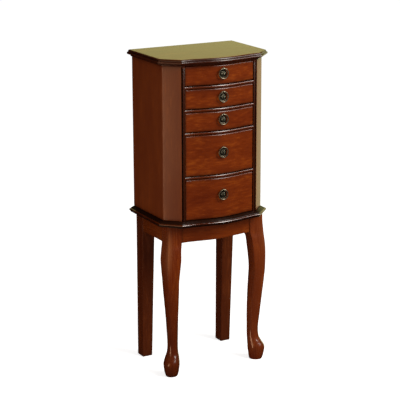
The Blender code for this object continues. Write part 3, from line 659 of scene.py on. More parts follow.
# ------------------------------------------------------------------ the plan of the case
@dataclass
class CasePlan:
    """The case's plan and heights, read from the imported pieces."""

    half_width: float = field(init=False)
    door_edge: float = field(init=False)
    back_y: float = field(init=False)
    chord_y: float = field(init=False)
    swell: float = field(init=False)
    overhang: float = field(init=False)
    back_face: float = field(init=False)
    door_thickness: float = 0.012

    def __post_init__(self) -> None:
        """Reads the boxes."""
        door_low, door_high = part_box("right_door")
        self.half_width, self.door_edge = door_high.x, door_low.x
        self.chord_y = door_low.y
        self.back_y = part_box("back_panel")[1].y
        self.back_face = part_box("back_panel")[0].y
        self.swell = self.chord_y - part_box("drawer_1_front")[0].y
        self.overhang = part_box("lid")[1].x - self.half_width

    @property
    def cant(self) -> float:
        """The corner cut, measured along either side."""
        return self.half_width - self.door_edge

    @property
    def side_y(self) -> float:
        """Where a side turns into its cant."""
        return self.chord_y + self.cant

    def wave(self, x: Array, half_span: float, reach: float, swell: float) -> Array:
        """Y of a serpentine face: a raised cosine wave that is flat at both ends of its span."""
        return reach - swell * 0.5 * (1 + np.cos(np.pi * x / half_span))

    def front(self, x: Array) -> Array:
        """Y of the drawers' serpentine line."""
        return self.wave(x, self.door_edge, self.chord_y, self.swell)

    def outline(self, overhang: float, steps: int = 72) -> Array:
        """Plan of the whole case grown outwards by an overhang, except at the back."""
        half = self.half_width + overhang
        corner = MITRE * overhang
        side_y = self.side_y - corner
        span = self.door_edge + corner
        xs = spaced(-span, span, steps)
        front = np.column_stack([xs, self.wave(xs, span, self.chord_y - overhang, self.swell)])
        ends = np.array([(-half, self.back_y), (-half, side_y)])
        return np.concatenate([ends, front, ends[::-1] * (-1, 1)])


# ------------------------------------------------------------------ moulded boards
class Sweep(Enum):
    """How a moulding goes from one station to the next."""

    STRAIGHT = "straight"
    OUT_FIRST = "out first"     # a quarter ellipse that leaves level and arrives upright
    DOWN_FIRST = "down first"   # a quarter ellipse that leaves upright and arrives level


@dataclass(frozen=True)
class Station:
    """A point of a moulding: inset from the outermost line, drop below the top, and its glaze and painted
    shade.
    """

    inset: float
    drop: float
    glaze: float = 0.0
    sweep: Sweep = Sweep.STRAIGHT


@dataclass
class MouldedBoard:
    """A board with the case's plan and a moulded edge on all sides but the back."""

    plan: CasePlan
    name: str
    stations: Sequence[Station]
    arc_steps: int = 7

    def profile(self) -> Array:
        """Inset, drop and glaze down the edge: quarter ellipses x = sin a, z = 1 - cos a, or the reverse."""
        rows = [(self.stations[0].inset, self.stations[0].drop, self.stations[0].glaze)]
        for start, end in zip(self.stations, self.stations[1:]):
            turn = np.linspace(0, np.pi / 2, 2 if end.sweep is Sweep.STRAIGHT else self.arc_steps + 1)[1:]
            quick, slow = np.sin(turn), 1 - np.cos(turn)
            if end.sweep is Sweep.STRAIGHT:
                across, down = quick, quick
            elif end.sweep is Sweep.OUT_FIRST:
                across, down = quick, slow
            else:
                across, down = slow, quick
            share = turn / (np.pi / 2)
            rows += np.column_stack([start.inset + (end.inset - start.inset) * across,
                                     start.drop + (end.drop - start.drop) * down,
                                     start.glaze + (end.glaze - start.glaze) * share]).tolist()
        return np.array(rows)

    def shell(self) -> Shell:
        """The board as outlines stacked down the moulding."""
        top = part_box(self.name)[1].z
        profile = self.profile()[::-1]
        outlines = [self.plan.outline(self.plan.overhang - inset) for inset in profile[:, 0]]
        return carried(stacked(outlines, top - profile[:, 1]), profile[:, 2:3])


# The third value of each station is glaze in the coves and painted shade on the slopes and rounds; the beads
# have less than their neighbours, and on the base board it also dulls the lacquer.
LID_STATIONS = (
    Station(0.0092, 0.0, 0.0), Station(0.0080, 0.0004, 0.6, Sweep.OUT_FIRST),
    Station(0.0040, 0.0046, 0.95, Sweep.OUT_FIRST),
    Station(0.0040, 0.0054, 1.0), Station(0.0028, 0.0059, 1.0),
    Station(0.0, 0.0095, 0.75, Sweep.OUT_FIRST), Station(0.0030, 0.0132, 0.95, Sweep.DOWN_FIRST),
    Station(0.0050, 0.0134, 0.9), Station(0.0052, 0.0144, 0.9),
    Station(0.0122, 0.0188, 0.85, Sweep.OUT_FIRST), Station(0.0125, 0.0200, 0.6),
)
BASE_STATIONS = (
    Station(0.0156, 0.0, 1.0), Station(0.0144, 0.0006, 1.0), Station(0.0100, 0.0028, 1.0),
    Station(0.0056, 0.0047, 0.95), Station(0.0050, 0.0060, 0.95), Station(0.0030, 0.0064, 0.0),
    Station(0.0, 0.0096, 0.4, Sweep.OUT_FIRST), Station(0.0030, 0.0130, 0.95, Sweep.DOWN_FIRST),
    Station(0.0042, 0.0134, 0.9), Station(0.0042, 0.0165, 0.8),
)


# ------------------------------------------------------------------ carcass
@dataclass
class Carcass:
    """Base board, stiles, rails, the boards inside, and what fixes them together."""

    plan: CasePlan
    finishes: Finishes
    rail_nose: float = 0.0028
    stile_ease: float = 0.0011
    lip_width: float = 0.011
    lip_thickness: float = 0.0085
    holder_width: float = 0.0068
    holder_rake: float = 0.006
    holder_depth: float = 0.010
    holder_half_height: float = 0.017
    screw_radius: float = 0.0034
    screw_inset: float = 0.008

    def build(self) -> None:
        """Builds and dresses the pieces of the fixed case."""
        f = self.finishes
        board = MouldedBoard(self.plan, "base_board", BASE_STATIONS)
        make_piece("base_board_moulded", board.shell(), f.base, "case", ["base_board"], 32.0)
        for number in range(1, 5):
            self.build_rail(number)
        for side, word in SIDES:
            self.build_stile(side, word)
            self.build_catch(side, word)
            dress(f"{word}_partition", f.back)
        dress("back_panel", f.back)
        dress("top_frame", f.back)
        self.build_back_screws()

    def build_rail(self, number: int) -> None:
        """A rail: a half-ellipse nose on the serpentine line, carried from side to side."""
        node = f"drawer_rail_{number}"
        low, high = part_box(node)
        xs = spaced(low.x, high.x, 72)
        middle, half = (low.z + high.z) / 2, (high.z - low.z) / 2
        turn = np.linspace(-np.pi / 2, np.pi / 2, 13)
        setback = self.rail_nose * (1 - np.cos(turn))
        front = self.plan.front(xs)[:, None] + setback
        ys = np.column_stack([front, np.full(len(xs), high.y), np.full(len(xs), high.y)])
        zs = np.concatenate([middle + half * np.sin(turn), [high.z, low.z]])
        rings = np.stack([np.broadcast_to(xs[:, None], ys.shape), ys, np.broadcast_to(zs, ys.shape)], -1)
        # Painted shade along the upper and lower edges of the nose, at the gaps to the drawers, and a faint
        # painted highlight at its tip.
        painted_nose_shade = np.concatenate([np.abs(np.sin(turn)) ** 4 * 0.9, [0.4, 0.4]]) - 0.1
        make_piece(f"rail_{number}", carried(rings, painted_nose_shade), self.finishes.rail, "case", [node],
                   50.0)

    def build_stile(self, side: int, word: str) -> None:
        """The strip beside the drawers, with the lip that its door closes against."""
        low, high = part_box(f"{word}_stile")
        inner, lip = sorted((abs(low.x), abs(high.x)))
        outer, stop = lip - self.lip_width, high.y - self.lip_thickness
        corners = [(inner, float(self.plan.front(inner))), (outer, float(self.plan.front(outer))),
                   (outer, stop), (lip, stop), (lip, high.y), (inner, high.y)]
        plan = Plan.eased([(side * x, y) for x, y in corners], [self.stile_ease] * 2 + [0.0004] * 4, 5)

        def glaze(points: Array) -> Array:
            """Nought on the front face and darker behind it: painted shade in the gap beside the door."""
            return np.clip((points[..., 1] - low.y) / 0.004, -0.15, 0.3)

        shell = lifted(plan, low.z, high.z, 0.0003, 2, glaze=glaze)
        make_piece(f"{word}_stile_eased", shell, self.finishes.stile, "case", [f"{word}_stile"])

    def build_catch(self, side: int, word: str) -> None:
        """A small magnet holder on the stile's lip, with its face along the door's cant."""
        lip = max(abs(v.x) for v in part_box(f"{word}_stile"))
        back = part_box(f"{word}_stile")[1].y
        middle = (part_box("back_panel")[0].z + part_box("back_panel")[1].z) / 2
        near, far = lip + CLEAR, lip + self.holder_width
        face, rear = back - 0.0002, back + self.holder_depth
        corners = [(near, face - self.holder_rake), (far, face), (far, rear), (near, rear)]
        plan = Plan.eased([(side * x, y) for x, y in corners], 0.0006, 3)
        tall = self.holder_half_height
        make_piece(f"{word}_catch_holder", lifted(plan, middle - tall, middle + tall, 0.0006, 3),
                   self.finishes.lining, "case")

    def build_back_screws(self) -> None:
        """Countersunk screws that fix the back panel, in two upright rows and two level ones."""
        low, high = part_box("back_panel")
        inset = self.screw_inset
        across = spaced(low.x + inset, high.x - inset, 3)[1:-1]
        up = spaced(low.z + 0.10, high.z - 0.10, 3)[1:-1]
        places = [(x, z) for x in across for z in (low.z + inset, high.z - inset)]
        places += [(x, z) for x in (low.x + 2 * inset, high.x - 2 * inset) for z in up]
        heads = [screw_head((x, high.y, z), self.screw_radius, (0, 1, 0)) for x, z in places]
        make_piece("back_panel_screws", joined(heads), self.finishes.hinge, "case")


def screw_head(place: Sequence[float], radius: float, facing: Sequence[float],
               proud: float = 0.0006) -> Shell:
    """A low domed screw head with a cross recess.

    The dome is h * (1.25 - r^2), and 0.9 h less inside the cross, where the lesser of |u| and |v| is
    under a sixth of the radius and the greater under two thirds.

    Args:
        place: the middle of the head on the surface that it stands on.
        radius: the head's radius.
        facing: the direction that it faces.
        proud: how far its middle stands out.

    Returns:
        The closed head.
    """
    rings, around = 9, 24
    r = np.linspace(1.0, 0.04, rings)[:, None]
    turn = np.linspace(0, 2 * np.pi, around, endpoint=False)[None]
    u, v = r * np.cos(turn), r * np.sin(turn)
    cross = (np.minimum(np.abs(u), np.abs(v)) < 0.17) & (np.maximum(np.abs(u), np.abs(v)) < 0.66)
    height = proud * (1 - r ** 2 + 0.25) - cross * proud * 0.9
    height = np.concatenate([np.full((1, around), -proud), height])
    u, v = np.concatenate([u[:1], u]), np.concatenate([v[:1], v])
    out = np.array(facing, float)
    first = np.cross(out, (0.0, 0.0, 1.0)) if abs(out[2]) < 0.9 else np.array((1.0, 0.0, 0.0))
    first = first / np.linalg.norm(first)
    second = np.cross(out, first)
    points = (np.array(place, float) + radius * (u[..., None] * first + v[..., None] * second)
              + height[..., None] * out)
    glaze = np.concatenate([np.zeros((1, around)), cross * 0.9])
    return carried(points, glaze)


# ------------------------------------------------------------------ doors
@dataclass
class Door:
    """A side door: the flat side and its cant in one panel, with its lining, hooks and strike."""

    plan: CasePlan
    finishes: Finishes
    side: int
    word: str
    ease: float = 0.0013
    hook_count: int = 5
    wire: float = 0.00125
    felt: float = 0.0012
    strip: tuple[float, float] = (0.008, 0.020)
    hook_stem: float = 0.0068
    hook_radius: float = 0.0042
    strike: tuple[float, float, float] = (0.0055, 0.0007, 0.012)

    @property
    def body(self) -> str:
        """The body that the door's pieces ride on."""
        return f"{self.word}_door_assembly"

    @property
    def inside(self) -> float:
        """Distance from the middle of the case to the inner face of the flat side."""
        return self.plan.half_width - self.plan.door_thickness

    @property
    def inner_corner(self) -> float:
        """Y where the inner face turns into the cant."""
        turn_in = math.sqrt(2) * self.plan.door_thickness
        return self.plan.side_y + self.plan.half_width - turn_in - self.inside

    def build(self) -> None:
        """Builds the panel and everything that it carries."""
        self.build_panel()
        self.build_lining()
        self.build_hook_rail()
        self.build_hooks()
        self.build_strike()

    def build_panel(self) -> None:
        """The panel: its plan carried up, with eased corners and rims."""
        p, low, high = self.plan, *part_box(f"{self.word}_door")
        edge_y = self.inner_corner - (self.inside - p.door_edge)
        corners = [(p.half_width, p.back_y), (p.half_width, p.side_y), (p.door_edge, p.chord_y),
                   (p.door_edge, edge_y), (self.inside, self.inner_corner), (self.inside, p.back_y)]
        radii = [self.ease, 0.0030, self.ease, self.ease, 0.0010, self.ease]
        plan = Plan.eased([(self.side * x, y) for x, y in corners], radii, 6)
        turn = np.array([self.side * p.half_width, p.side_y])

        def glaze(points: Array) -> Array:
            """Lighter along the outer corner, partly wear and partly a painted highlight; painted shade in a
            narrow band at the foot and under the lid.
            """
            near = np.exp(-np.sum((points[..., :2] - turn) ** 2, -1) / 0.0020 ** 2)
            foot = np.exp(-(points[..., 2] - low.z) / 0.0045)
            head = np.exp(-(high.z - points[..., 2]) / 0.0060)
            return np.maximum(foot, head) * 0.45 - near * 0.40

        shell = lifted(plan, low.z, high.z, self.ease, 4, 60, glaze)
        make_piece(f"{self.word}_door_panel", shell, self.finishes.upright, self.body,
                   [f"{self.word}_door"], 50.0)

    def build_lining(self) -> None:
        """A felt panel on the inner face, under the hook rail."""
        margin = 0.006
        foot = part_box(f"{self.word}_door")[0].z + margin
        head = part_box(f"{self.word}_hook_rail")[0].z - 0.002
        front, rear = self.inner_corner + margin, self.plan.back_face - margin
        shell = slab((self.side * (self.inside - self.felt), front, foot),
                     (self.side * (self.inside - 0.00005), rear, head), 0.0005)
        make_piece(f"{self.word}_door_lining", shell, self.finishes.felt, self.body)

    def build_hook_rail(self) -> None:
        """The wooden strip that carries the hooks."""
        low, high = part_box(f"{self.word}_hook_rail")
        face = max(abs(low.x), abs(high.x))
        thick, tall = self.strip
        shell = slab((self.side * (face - thick), low.y, high.z - tall),
                     (self.side * face, high.y, high.z), 0.0014)
        make_piece(f"{self.word}_hook_strip", shell, self.finishes.lining_side, self.body,
                   [f"{self.word}_hook_rail"])

    def build_hooks(self) -> None:
        """Brass hooks: a stem, then an arc (r sin a, r (1 - cos a)), ending in a small ball."""
        low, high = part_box(f"{self.word}_hook_rail")
        face = max(abs(low.x), abs(high.x)) - self.strip[0]
        foot = high.z - 0.0115
        pitch = (high.y - low.y) / self.hook_count
        stem = np.column_stack([np.linspace(-0.001, self.hook_stem, 6), np.zeros(6)])
        turn = np.linspace(0, np.pi * 0.62, 11)[1:]
        bend = np.column_stack([self.hook_stem + self.hook_radius * np.sin(turn),
                                self.hook_radius * (1 - np.cos(turn))])
        profile = np.concatenate([stem, bend])
        shells = []
        for number in range(self.hook_count):
            y = low.y + pitch * (number + 0.5)
            path = np.column_stack([self.side * (face - profile[:, 0]), np.full(len(profile), y),
                                    foot + profile[:, 1]])
            washer = self.wire * 2.6
            shells += [tube(path, self.wire, 10), ball(path[-1], self.wire * 1.45),
                       screw_head((self.side * face, y, foot), washer, (-self.side, 0, 0), washer * 0.16)]
        make_piece(f"{self.word}_hooks", joined(shells), self.finishes.ring, self.body)

    def build_strike(self) -> None:
        """A thin plate on the inner face of the cant, opposite the magnet holder."""
        middle = (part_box("back_panel")[0].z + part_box("back_panel")[1].z) / 2
        along = np.array([self.side * math.sqrt(0.5), math.sqrt(0.5)])
        inward = np.array([-self.side * math.sqrt(0.5), math.sqrt(0.5)])
        lip = max(abs(v.x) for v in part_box(f"{self.word}_stile"))
        x = lip + 0.0075
        centre = np.array([self.side * x, self.inner_corner - (self.inside - x)])
        wide, thick, tall = self.strike
        plate = slab((-wide, 0.0, middle - tall), (wide, thick, middle + tall), 0.0002, 0.0015)

        def lay(points: Array) -> Array:
            """Turns the plate onto the cant."""
            flat = centre + points[:, :1] * along + points[:, 1:2] * inward
            return np.column_stack([flat, points[:, 2]])

        make_piece(f"{self.word}_strike_plate", plate.moved(lay), self.finishes.hinge, self.body)


def ball(centre: Array, radius: float, steps: int = 10) -> Shell:
    """A small ball as rings from pole to pole: radius * sin a at height radius * cos a."""
    turn = np.linspace(0.06, np.pi - 0.06, steps)[:, None]
    round_ = np.linspace(0, 2 * np.pi, steps + 4, endpoint=False)[None]
    points = np.stack([np.sin(turn) * np.cos(round_), np.sin(turn) * np.sin(round_),
                       np.broadcast_to(np.cos(turn), (steps, steps + 4))], -1)
    return carried(np.asarray(centre) + radius * points)


# ------------------------------------------------------------------ drawers and pulls
@dataclass
class Drawer:
    """A drawer: its serpentine front, its box with felt in each compartment, and its pull."""

    plan: CasePlan
    finishes: Finishes
    number: int
    pockets: int
    rounding: float = 0.0045
    wall: float = 0.006
    floor: float = 0.004

    def build(self) -> None:
        """Builds the front, the linings and the pull, and dresses the box."""
        self.build_front()
        self.build_linings()
        dress(f"drawer_{self.number}_box", self.finishes.lining)
        RingPull(self.finishes, self.number).build()

    def build_front(self) -> None:
        """The front: depth behind the serpentine line is the greater of two quarter rounds.

        The quarter round is R - sqrt(R^2 - d^2), where d is how far a point is inside the last R
        before the edge: one d is measured across, the other up.
        """
        node = f"drawer_{self.number}_front"
        low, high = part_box(node)
        half, r = high.x, self.rounding
        angle = np.linspace(0, np.pi / 2, 7)
        near = r * (1 - np.sin(angle))
        xs = np.concatenate([-half + near[::-1], spaced(-half + r, half - r, 64)[1:-1], half - near])
        zs = np.concatenate([low.z + near[::-1], spaced(low.z + r, high.z - r, 24)[1:-1], high.z - near])
        across = self.quarter(np.abs(xs) - (half - r))
        up = self.quarter(np.abs(zs - (low.z + high.z) / 2) - ((high.z - low.z) / 2 - r))
        ys = self.plan.front(xs)[None] + np.maximum(across[None], up[:, None])
        ys = np.minimum(ys, high.y)
        face = np.stack([np.broadcast_to(xs, ys.shape), ys, np.broadcast_to(zs[:, None], ys.shape)], -1)
        back = np.empty((len(zs), 2, 3))
        back[:, 0] = np.column_stack([np.full(len(zs), half), np.full(len(zs), high.y), zs])
        back[:, 1] = back[:, 0] * (-1, 1, 1)
        rings = np.concatenate([face, back], 1)
        x, z = np.abs(rings[..., 0]), rings[..., 2]
        # Painted shade, partly glaze at the edges: darkest along the foot, where the round turns away from
        # the light, then along the head, where it also dulls the top edge's highlight, and at the ends.
        foot = np.exp(-(z - low.z) / 0.0050) * 0.95
        head = np.exp(-(high.z - z) / 0.0052) * 0.85
        ends = np.exp(-(half - x) / 0.0030) * 0.50
        glaze = np.maximum(foot, np.maximum(head, ends))
        make_piece(f"drawer_{self.number}_serpentine", carried(rings, glaze), self.finishes.drawer,
                   f"drawer_{self.number}", [node], 50.0)

    def quarter(self, depth: Array) -> Array:
        """How far the quarter round falls back at a depth into it."""
        d = np.clip(depth, 0, self.rounding)
        return self.rounding - np.sqrt(np.maximum(self.rounding ** 2 - d ** 2, 0))

    def build_linings(self) -> None:
        """A felt pad on the floor of each compartment."""
        low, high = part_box(f"drawer_{self.number}_box")
        width = (high.x - low.x - self.wall * (self.pockets + 1)) / self.pockets
        pads = []
        for i in range(self.pockets):
            left = low.x + self.wall + i * (width + self.wall)
            bottom = low.z + self.floor
            pads.append(slab((left + FELT_GAP, low.y + self.wall + FELT_GAP, bottom),
                             (left + width - FELT_GAP, high.y - self.wall - FELT_GAP, bottom + FELT),
                             FELT_EASE))
        make_piece(f"drawer_{self.number}_felt", joined(pads), self.finishes.felt,
                   f"drawer_{self.number}")


# Plate of a pull, rim to middle: share of the way, then radius and height in millimetres.
PLATE = np.array([
    (0.00, 13.0, 0.0), (0.06, 13.0, 0.9), (0.11, 12.8, 1.5), (0.16, 12.0, 2.1), (0.24, 11.2, 1.75),
    (0.32, 10.4, 1.2), (0.40, 9.5, 1.15), (0.47, 8.8, 1.3), (0.54, 8.5, 2.2), (0.62, 8.0, 3.0),
    (0.70, 6.9, 3.6), (0.78, 5.4, 3.95), (0.86, 3.6, 4.1), (0.93, 1.7, 4.35), (1.00, 0.15, 4.5),
])


@dataclass
class RingPull:
    """A ring pull: a pressed plate with a beaded rim and a petalled boss, an eye, and a ring."""

    finishes: Finishes
    number: int
    boss_radius: float = 0.0085
    ring_radius: float = 0.0147
    wire: float = 0.00205
    standoff: float = 0.0056
    beads: int = 28
    petals: int = 8

    def build(self) -> None:
        """Builds the plate with its eye, and the ring."""
        low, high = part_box(f"drawer_{self.number}_ring")
        centre = np.array([0.0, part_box(f"drawer_{self.number}_front")[0].y, (low.z + high.z) / 2])
        body = f"drawer_{self.number}"
        shell = joined([self.plate(centre), self.eye(centre), self.stem(centre)])
        make_piece(f"drawer_{self.number}_plate", shell, self.finishes.plate, body,
                   [f"drawer_{self.number}_rosette"], 60.0)
        make_piece(f"drawer_{self.number}_pull_ring", self.ring(centre), self.finishes.ring,
                   f"ring_{self.number}", [f"drawer_{self.number}_ring"], 60.0)

    def plate(self, centre: Array) -> Shell:
        """The plate: a turned profile, with beads cos(n a) on its rim and petals cos(m a) on its boss."""
        t = np.linspace(0, 1, 60)
        profile = through(t, PLATE[:, 0], PLATE[:, 1:] / 1000)
        turn = np.linspace(0, 2 * np.pi, 112, endpoint=False)[None]
        r, h = profile[:, :1], profile[:, 1:]
        rim = np.exp(-((t - 0.15) / 0.055) ** 2)[:, None]
        leaf = np.exp(-((t - 0.72) / 0.12) ** 2)[:, None]
        h = h + rim * 0.00032 * np.cos(self.beads * turn) + leaf * 0.00042 * np.cos(self.petals * turn)
        r = r + rim * 0.00012 * np.cos(self.beads * turn)
        points = np.stack([centre[0] + r * np.cos(turn), centre[1] + 0.0003 - h,
                           centre[2] + r * np.sin(turn)], -1)
        low_spots = (np.exp(-((t - 0.45) / 0.16) ** 4)[:, None]
                     + leaf * 0.30 * (1 - np.cos(self.petals * turn)))
        knob = 1 / (1 + np.exp(-(t - 0.80) / 0.02))[:, None]
        high_spots = rim * 0.3 + knob * 0.85 + leaf * 0.15 * (1 + np.cos(self.petals * turn))
        return carried(points, low_spots - high_spots)

    def eye(self, centre: Array) -> Shell:
        """The eye: a short thick ring whose wall has a squarish section, |u|^0.6 and |v|^0.6."""
        middle = centre + (0, -self.standoff, self.ring_radius)
        inner, wall, half = self.wire + 0.00055, 0.0012, 0.0022
        turn = np.linspace(0, 2 * np.pi, 28, endpoint=False)[:, None]
        lip = np.linspace(0, 2 * np.pi, 20, endpoint=False)[None]
        u, v = (np.sign(part) * np.abs(part) ** 0.6 for part in (np.cos(lip), np.sin(lip)))
        reach = inner + wall / 2 + wall / 2 * u
        along = np.broadcast_to(half * v, (28, 20))
        points = np.stack([along, reach * np.cos(turn), reach * np.sin(turn)], -1) + middle
        # The whole eye takes the lightest metal colour: partly wear, partly a painted highlight at the top of
        # the ring.
        return carried(points, -1.0, path_closed=True)

    def stem(self, centre: Array) -> Shell:
        """The stem that carries the eye, from the plate up to the eye's back."""
        y_low = centre[1] - self.standoff + 0.0030
        return slab((-0.0017, y_low, centre[2] + self.boss_radius - 0.001),
                    (0.0017, centre[1] - 0.0004, centre[2] + self.ring_radius + 0.0012), 0.0005)

    def ring(self, centre: Array) -> Shell:
        """The ring: a round bar round a circle, a little stouter at the foot, with two fine collars."""
        turn = np.linspace(0, 2 * np.pi, 96, endpoint=False)[:, None]
        section = np.linspace(0, 2 * np.pi, 18, endpoint=False)[None]
        stout = 1.0 + 0.05 * (1 - np.cos(turn)) / 2
        collar = sum(np.exp(-((turn - at) / 0.045) ** 2) for at in (2.45, 2.65, 3.633, 3.833)) * 0.10
        wire = self.wire * np.minimum(stout + collar, 1.12)
        reach = self.ring_radius + wire * np.cos(section)
        middle = centre + (0, -self.standoff, 0)
        forwards = np.broadcast_to(wire * np.sin(section), reach.shape)
        points = middle + np.stack([reach * np.sin(turn), forwards, reach * np.cos(turn)], -1)
        inner = (1 - np.cos(section)) * 0.22 + np.zeros_like(reach)
        return carried(points, inner - 0.12, path_closed=True)


# ------------------------------------------------------------------ lid and tray
@dataclass
class Lid:
    """The lid with its mirror, and the tray with its ring rolls beneath it."""

    plan: CasePlan
    finishes: Finishes
    rolls: int = 6
    roll_base: float = 0.008

    def build(self) -> None:
        """Builds the lid, mirror, tray linings and ring rolls, and dresses the tray."""
        f = self.finishes
        board = MouldedBoard(self.plan, "lid", LID_STATIONS)
        make_piece("lid_moulded", board.shell(), f.lid, "lid_assembly", ["lid"], 32.0)
        self.build_mirror()
        self.build_rolls()
        self.build_tray_felt()
        dress("lid_tray", f.lining)

    def build_mirror(self) -> None:
        """The mirror: round-cornered glass with a ground bevel all round."""
        low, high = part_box("lid_mirror")
        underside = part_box("lid")[0].z
        x, y0, y1 = high.x, low.y, high.y
        plan = Plan.eased([(-x, y0), (x, y0), (x, y1), (-x, y1)], 0.012, 6)
        proud, thick = 0.0002, 0.001
        rings = stacked([plan.inset(0.006), plan.inset(0.0), plan.inset(0.0)],
                        [underside - proud, underside + proud, underside + thick])
        make_piece("lid_mirror_bevelled", carried(rings), self.finishes.mirror, "lid_assembly",
                   ["lid_mirror"], 1.0)

    def build_rolls(self) -> None:
        """Foam rolls under velvet, each a hump (1 - t^2)^0.425 across its pitch on a common base.

        The humps are lowered towards both ends by a quarter circle, and creased where two meet.
        """
        low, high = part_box("ring_rolls")
        xs = spaced(low.x, high.x, 60, 0.85)
        per_roll = 16
        t = np.linspace(-1, 1, per_roll + 1)
        pitch = (high.y - low.y) / self.rolls
        ys = np.concatenate([low.y + pitch * (i + 0.5 + t[:-1] / 2) for i in range(self.rolls)]
                            + [[high.y]])
        hump = np.append(np.tile(np.sqrt(np.maximum(1 - t[:-1] ** 2, 0)) ** 0.85, self.rolls), 0.0)
        ease = 0.0045
        end = np.clip((np.abs(xs) - (high.x - ease)) / ease, 0, 1)
        crown = np.sqrt(1 - end ** 2) * 0.985 + 0.015
        slack = 1 + 0.012 * np.sin(xs[:, None] * 130 + ys[None] * 900) + 0.01 * np.sin(xs[:, None] * 61)
        tall = high.z - low.z
        zs = low.z + (self.roll_base + (tall - self.roll_base) * hump[None] * 0.975 * slack) * crown[:, None]
        top = np.stack([np.broadcast_to(xs[:, None], zs.shape), np.broadcast_to(ys, zs.shape), zs], -1)
        base = top[:, ::-8].copy()
        base[..., 2] = low.z
        rings = np.concatenate([top, base], 1)
        creases = np.concatenate([(1 - hump) ** 3, np.zeros(base.shape[1])])
        rolls = make_piece("ring_roll_cushion", carried(rings, creases), self.finishes.velvet, "case",
                           ["ring_rolls"], 80.0)

    def build_tray_felt(self) -> None:
        """Felt on the floor of the two open compartments behind the ring rolls."""
        low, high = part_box("lid_tray")
        wall, floor = 0.004, 0.003
        y0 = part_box("ring_rolls")[1].y + 0.001 + wall + FELT_GAP
        y1 = high.y - wall - FELT_GAP
        width = (high.x - low.x - wall * 3) / 2
        pads = []
        for i in range(2):
            left = low.x + wall + i * (width + wall)
            pads.append(slab((left + FELT_GAP, y0, low.z + floor),
                             (left + width - FELT_GAP, y1, low.z + floor + FELT), FELT_EASE))
        make_piece("lid_tray_felt", joined(pads), self.finishes.felt, "case")


# ------------------------------------------------------------------ hinges
@dataclass
class Hinges:
    """The butt hinges of the lid and the doors, kept as packed."""

    finishes: Finishes

    def build(self) -> None:
        """Dresses the leaves."""
        names = [f"lid_{word}_hinge" for _, word in SIDES]
        names += [f"{word}_door_{level}_hinge" for _, word in SIDES for level in ("lower", "upper")]
        for name in names:
            for leaf in ("fixed_leaf", "moving_leaf"):
                dress(f"{name}_{leaf}", self.finishes.hinge)


# ------------------------------------------------------------------ stand
# Cabriole leg, foot to top: share of the height, how far the middle is carried outwards, half width
# along the diagonal and across it, and roundness, from 1 for a square post to 2 for an oval.
CABRIOLE = np.array([
    (0.000, 0.0127, 0.0195, 0.0176, 2.00), (0.008, 0.0130, 0.0210, 0.0190, 2.00),
    (0.038, 0.0140, 0.0240, 0.0223, 2.00), (0.082, 0.0142, 0.0268, 0.0243, 2.00),
    (0.122, 0.0083, 0.0222, 0.0215, 2.00), (0.154, 0.0036, 0.0188, 0.0172, 2.00),
    (0.203, 0.0020, 0.0178, 0.0156, 2.00), (0.320, 0.0045, 0.0207, 0.0175, 1.80),
    (0.440, 0.0082, 0.0234, 0.0210, 1.55), (0.560, 0.0127, 0.0254, 0.0248, 1.35),
    (0.640, 0.0152, 0.0262, 0.0268, 1.25), (0.720, 0.0140, 0.0281, 0.0303, 1.20),
    (0.780, 0.0118, 0.0294, 0.0324, 1.15), (0.838, 0.0083, 0.0297, 0.0312, 1.10),
    (0.884, 0.0020, 0.0329, 0.0309, 1.04), (0.955, 0.0004, 0.0313, 0.0310, 1.02),
    (1.000, 0.0000, 0.0311, 0.0311, 1.02),
])


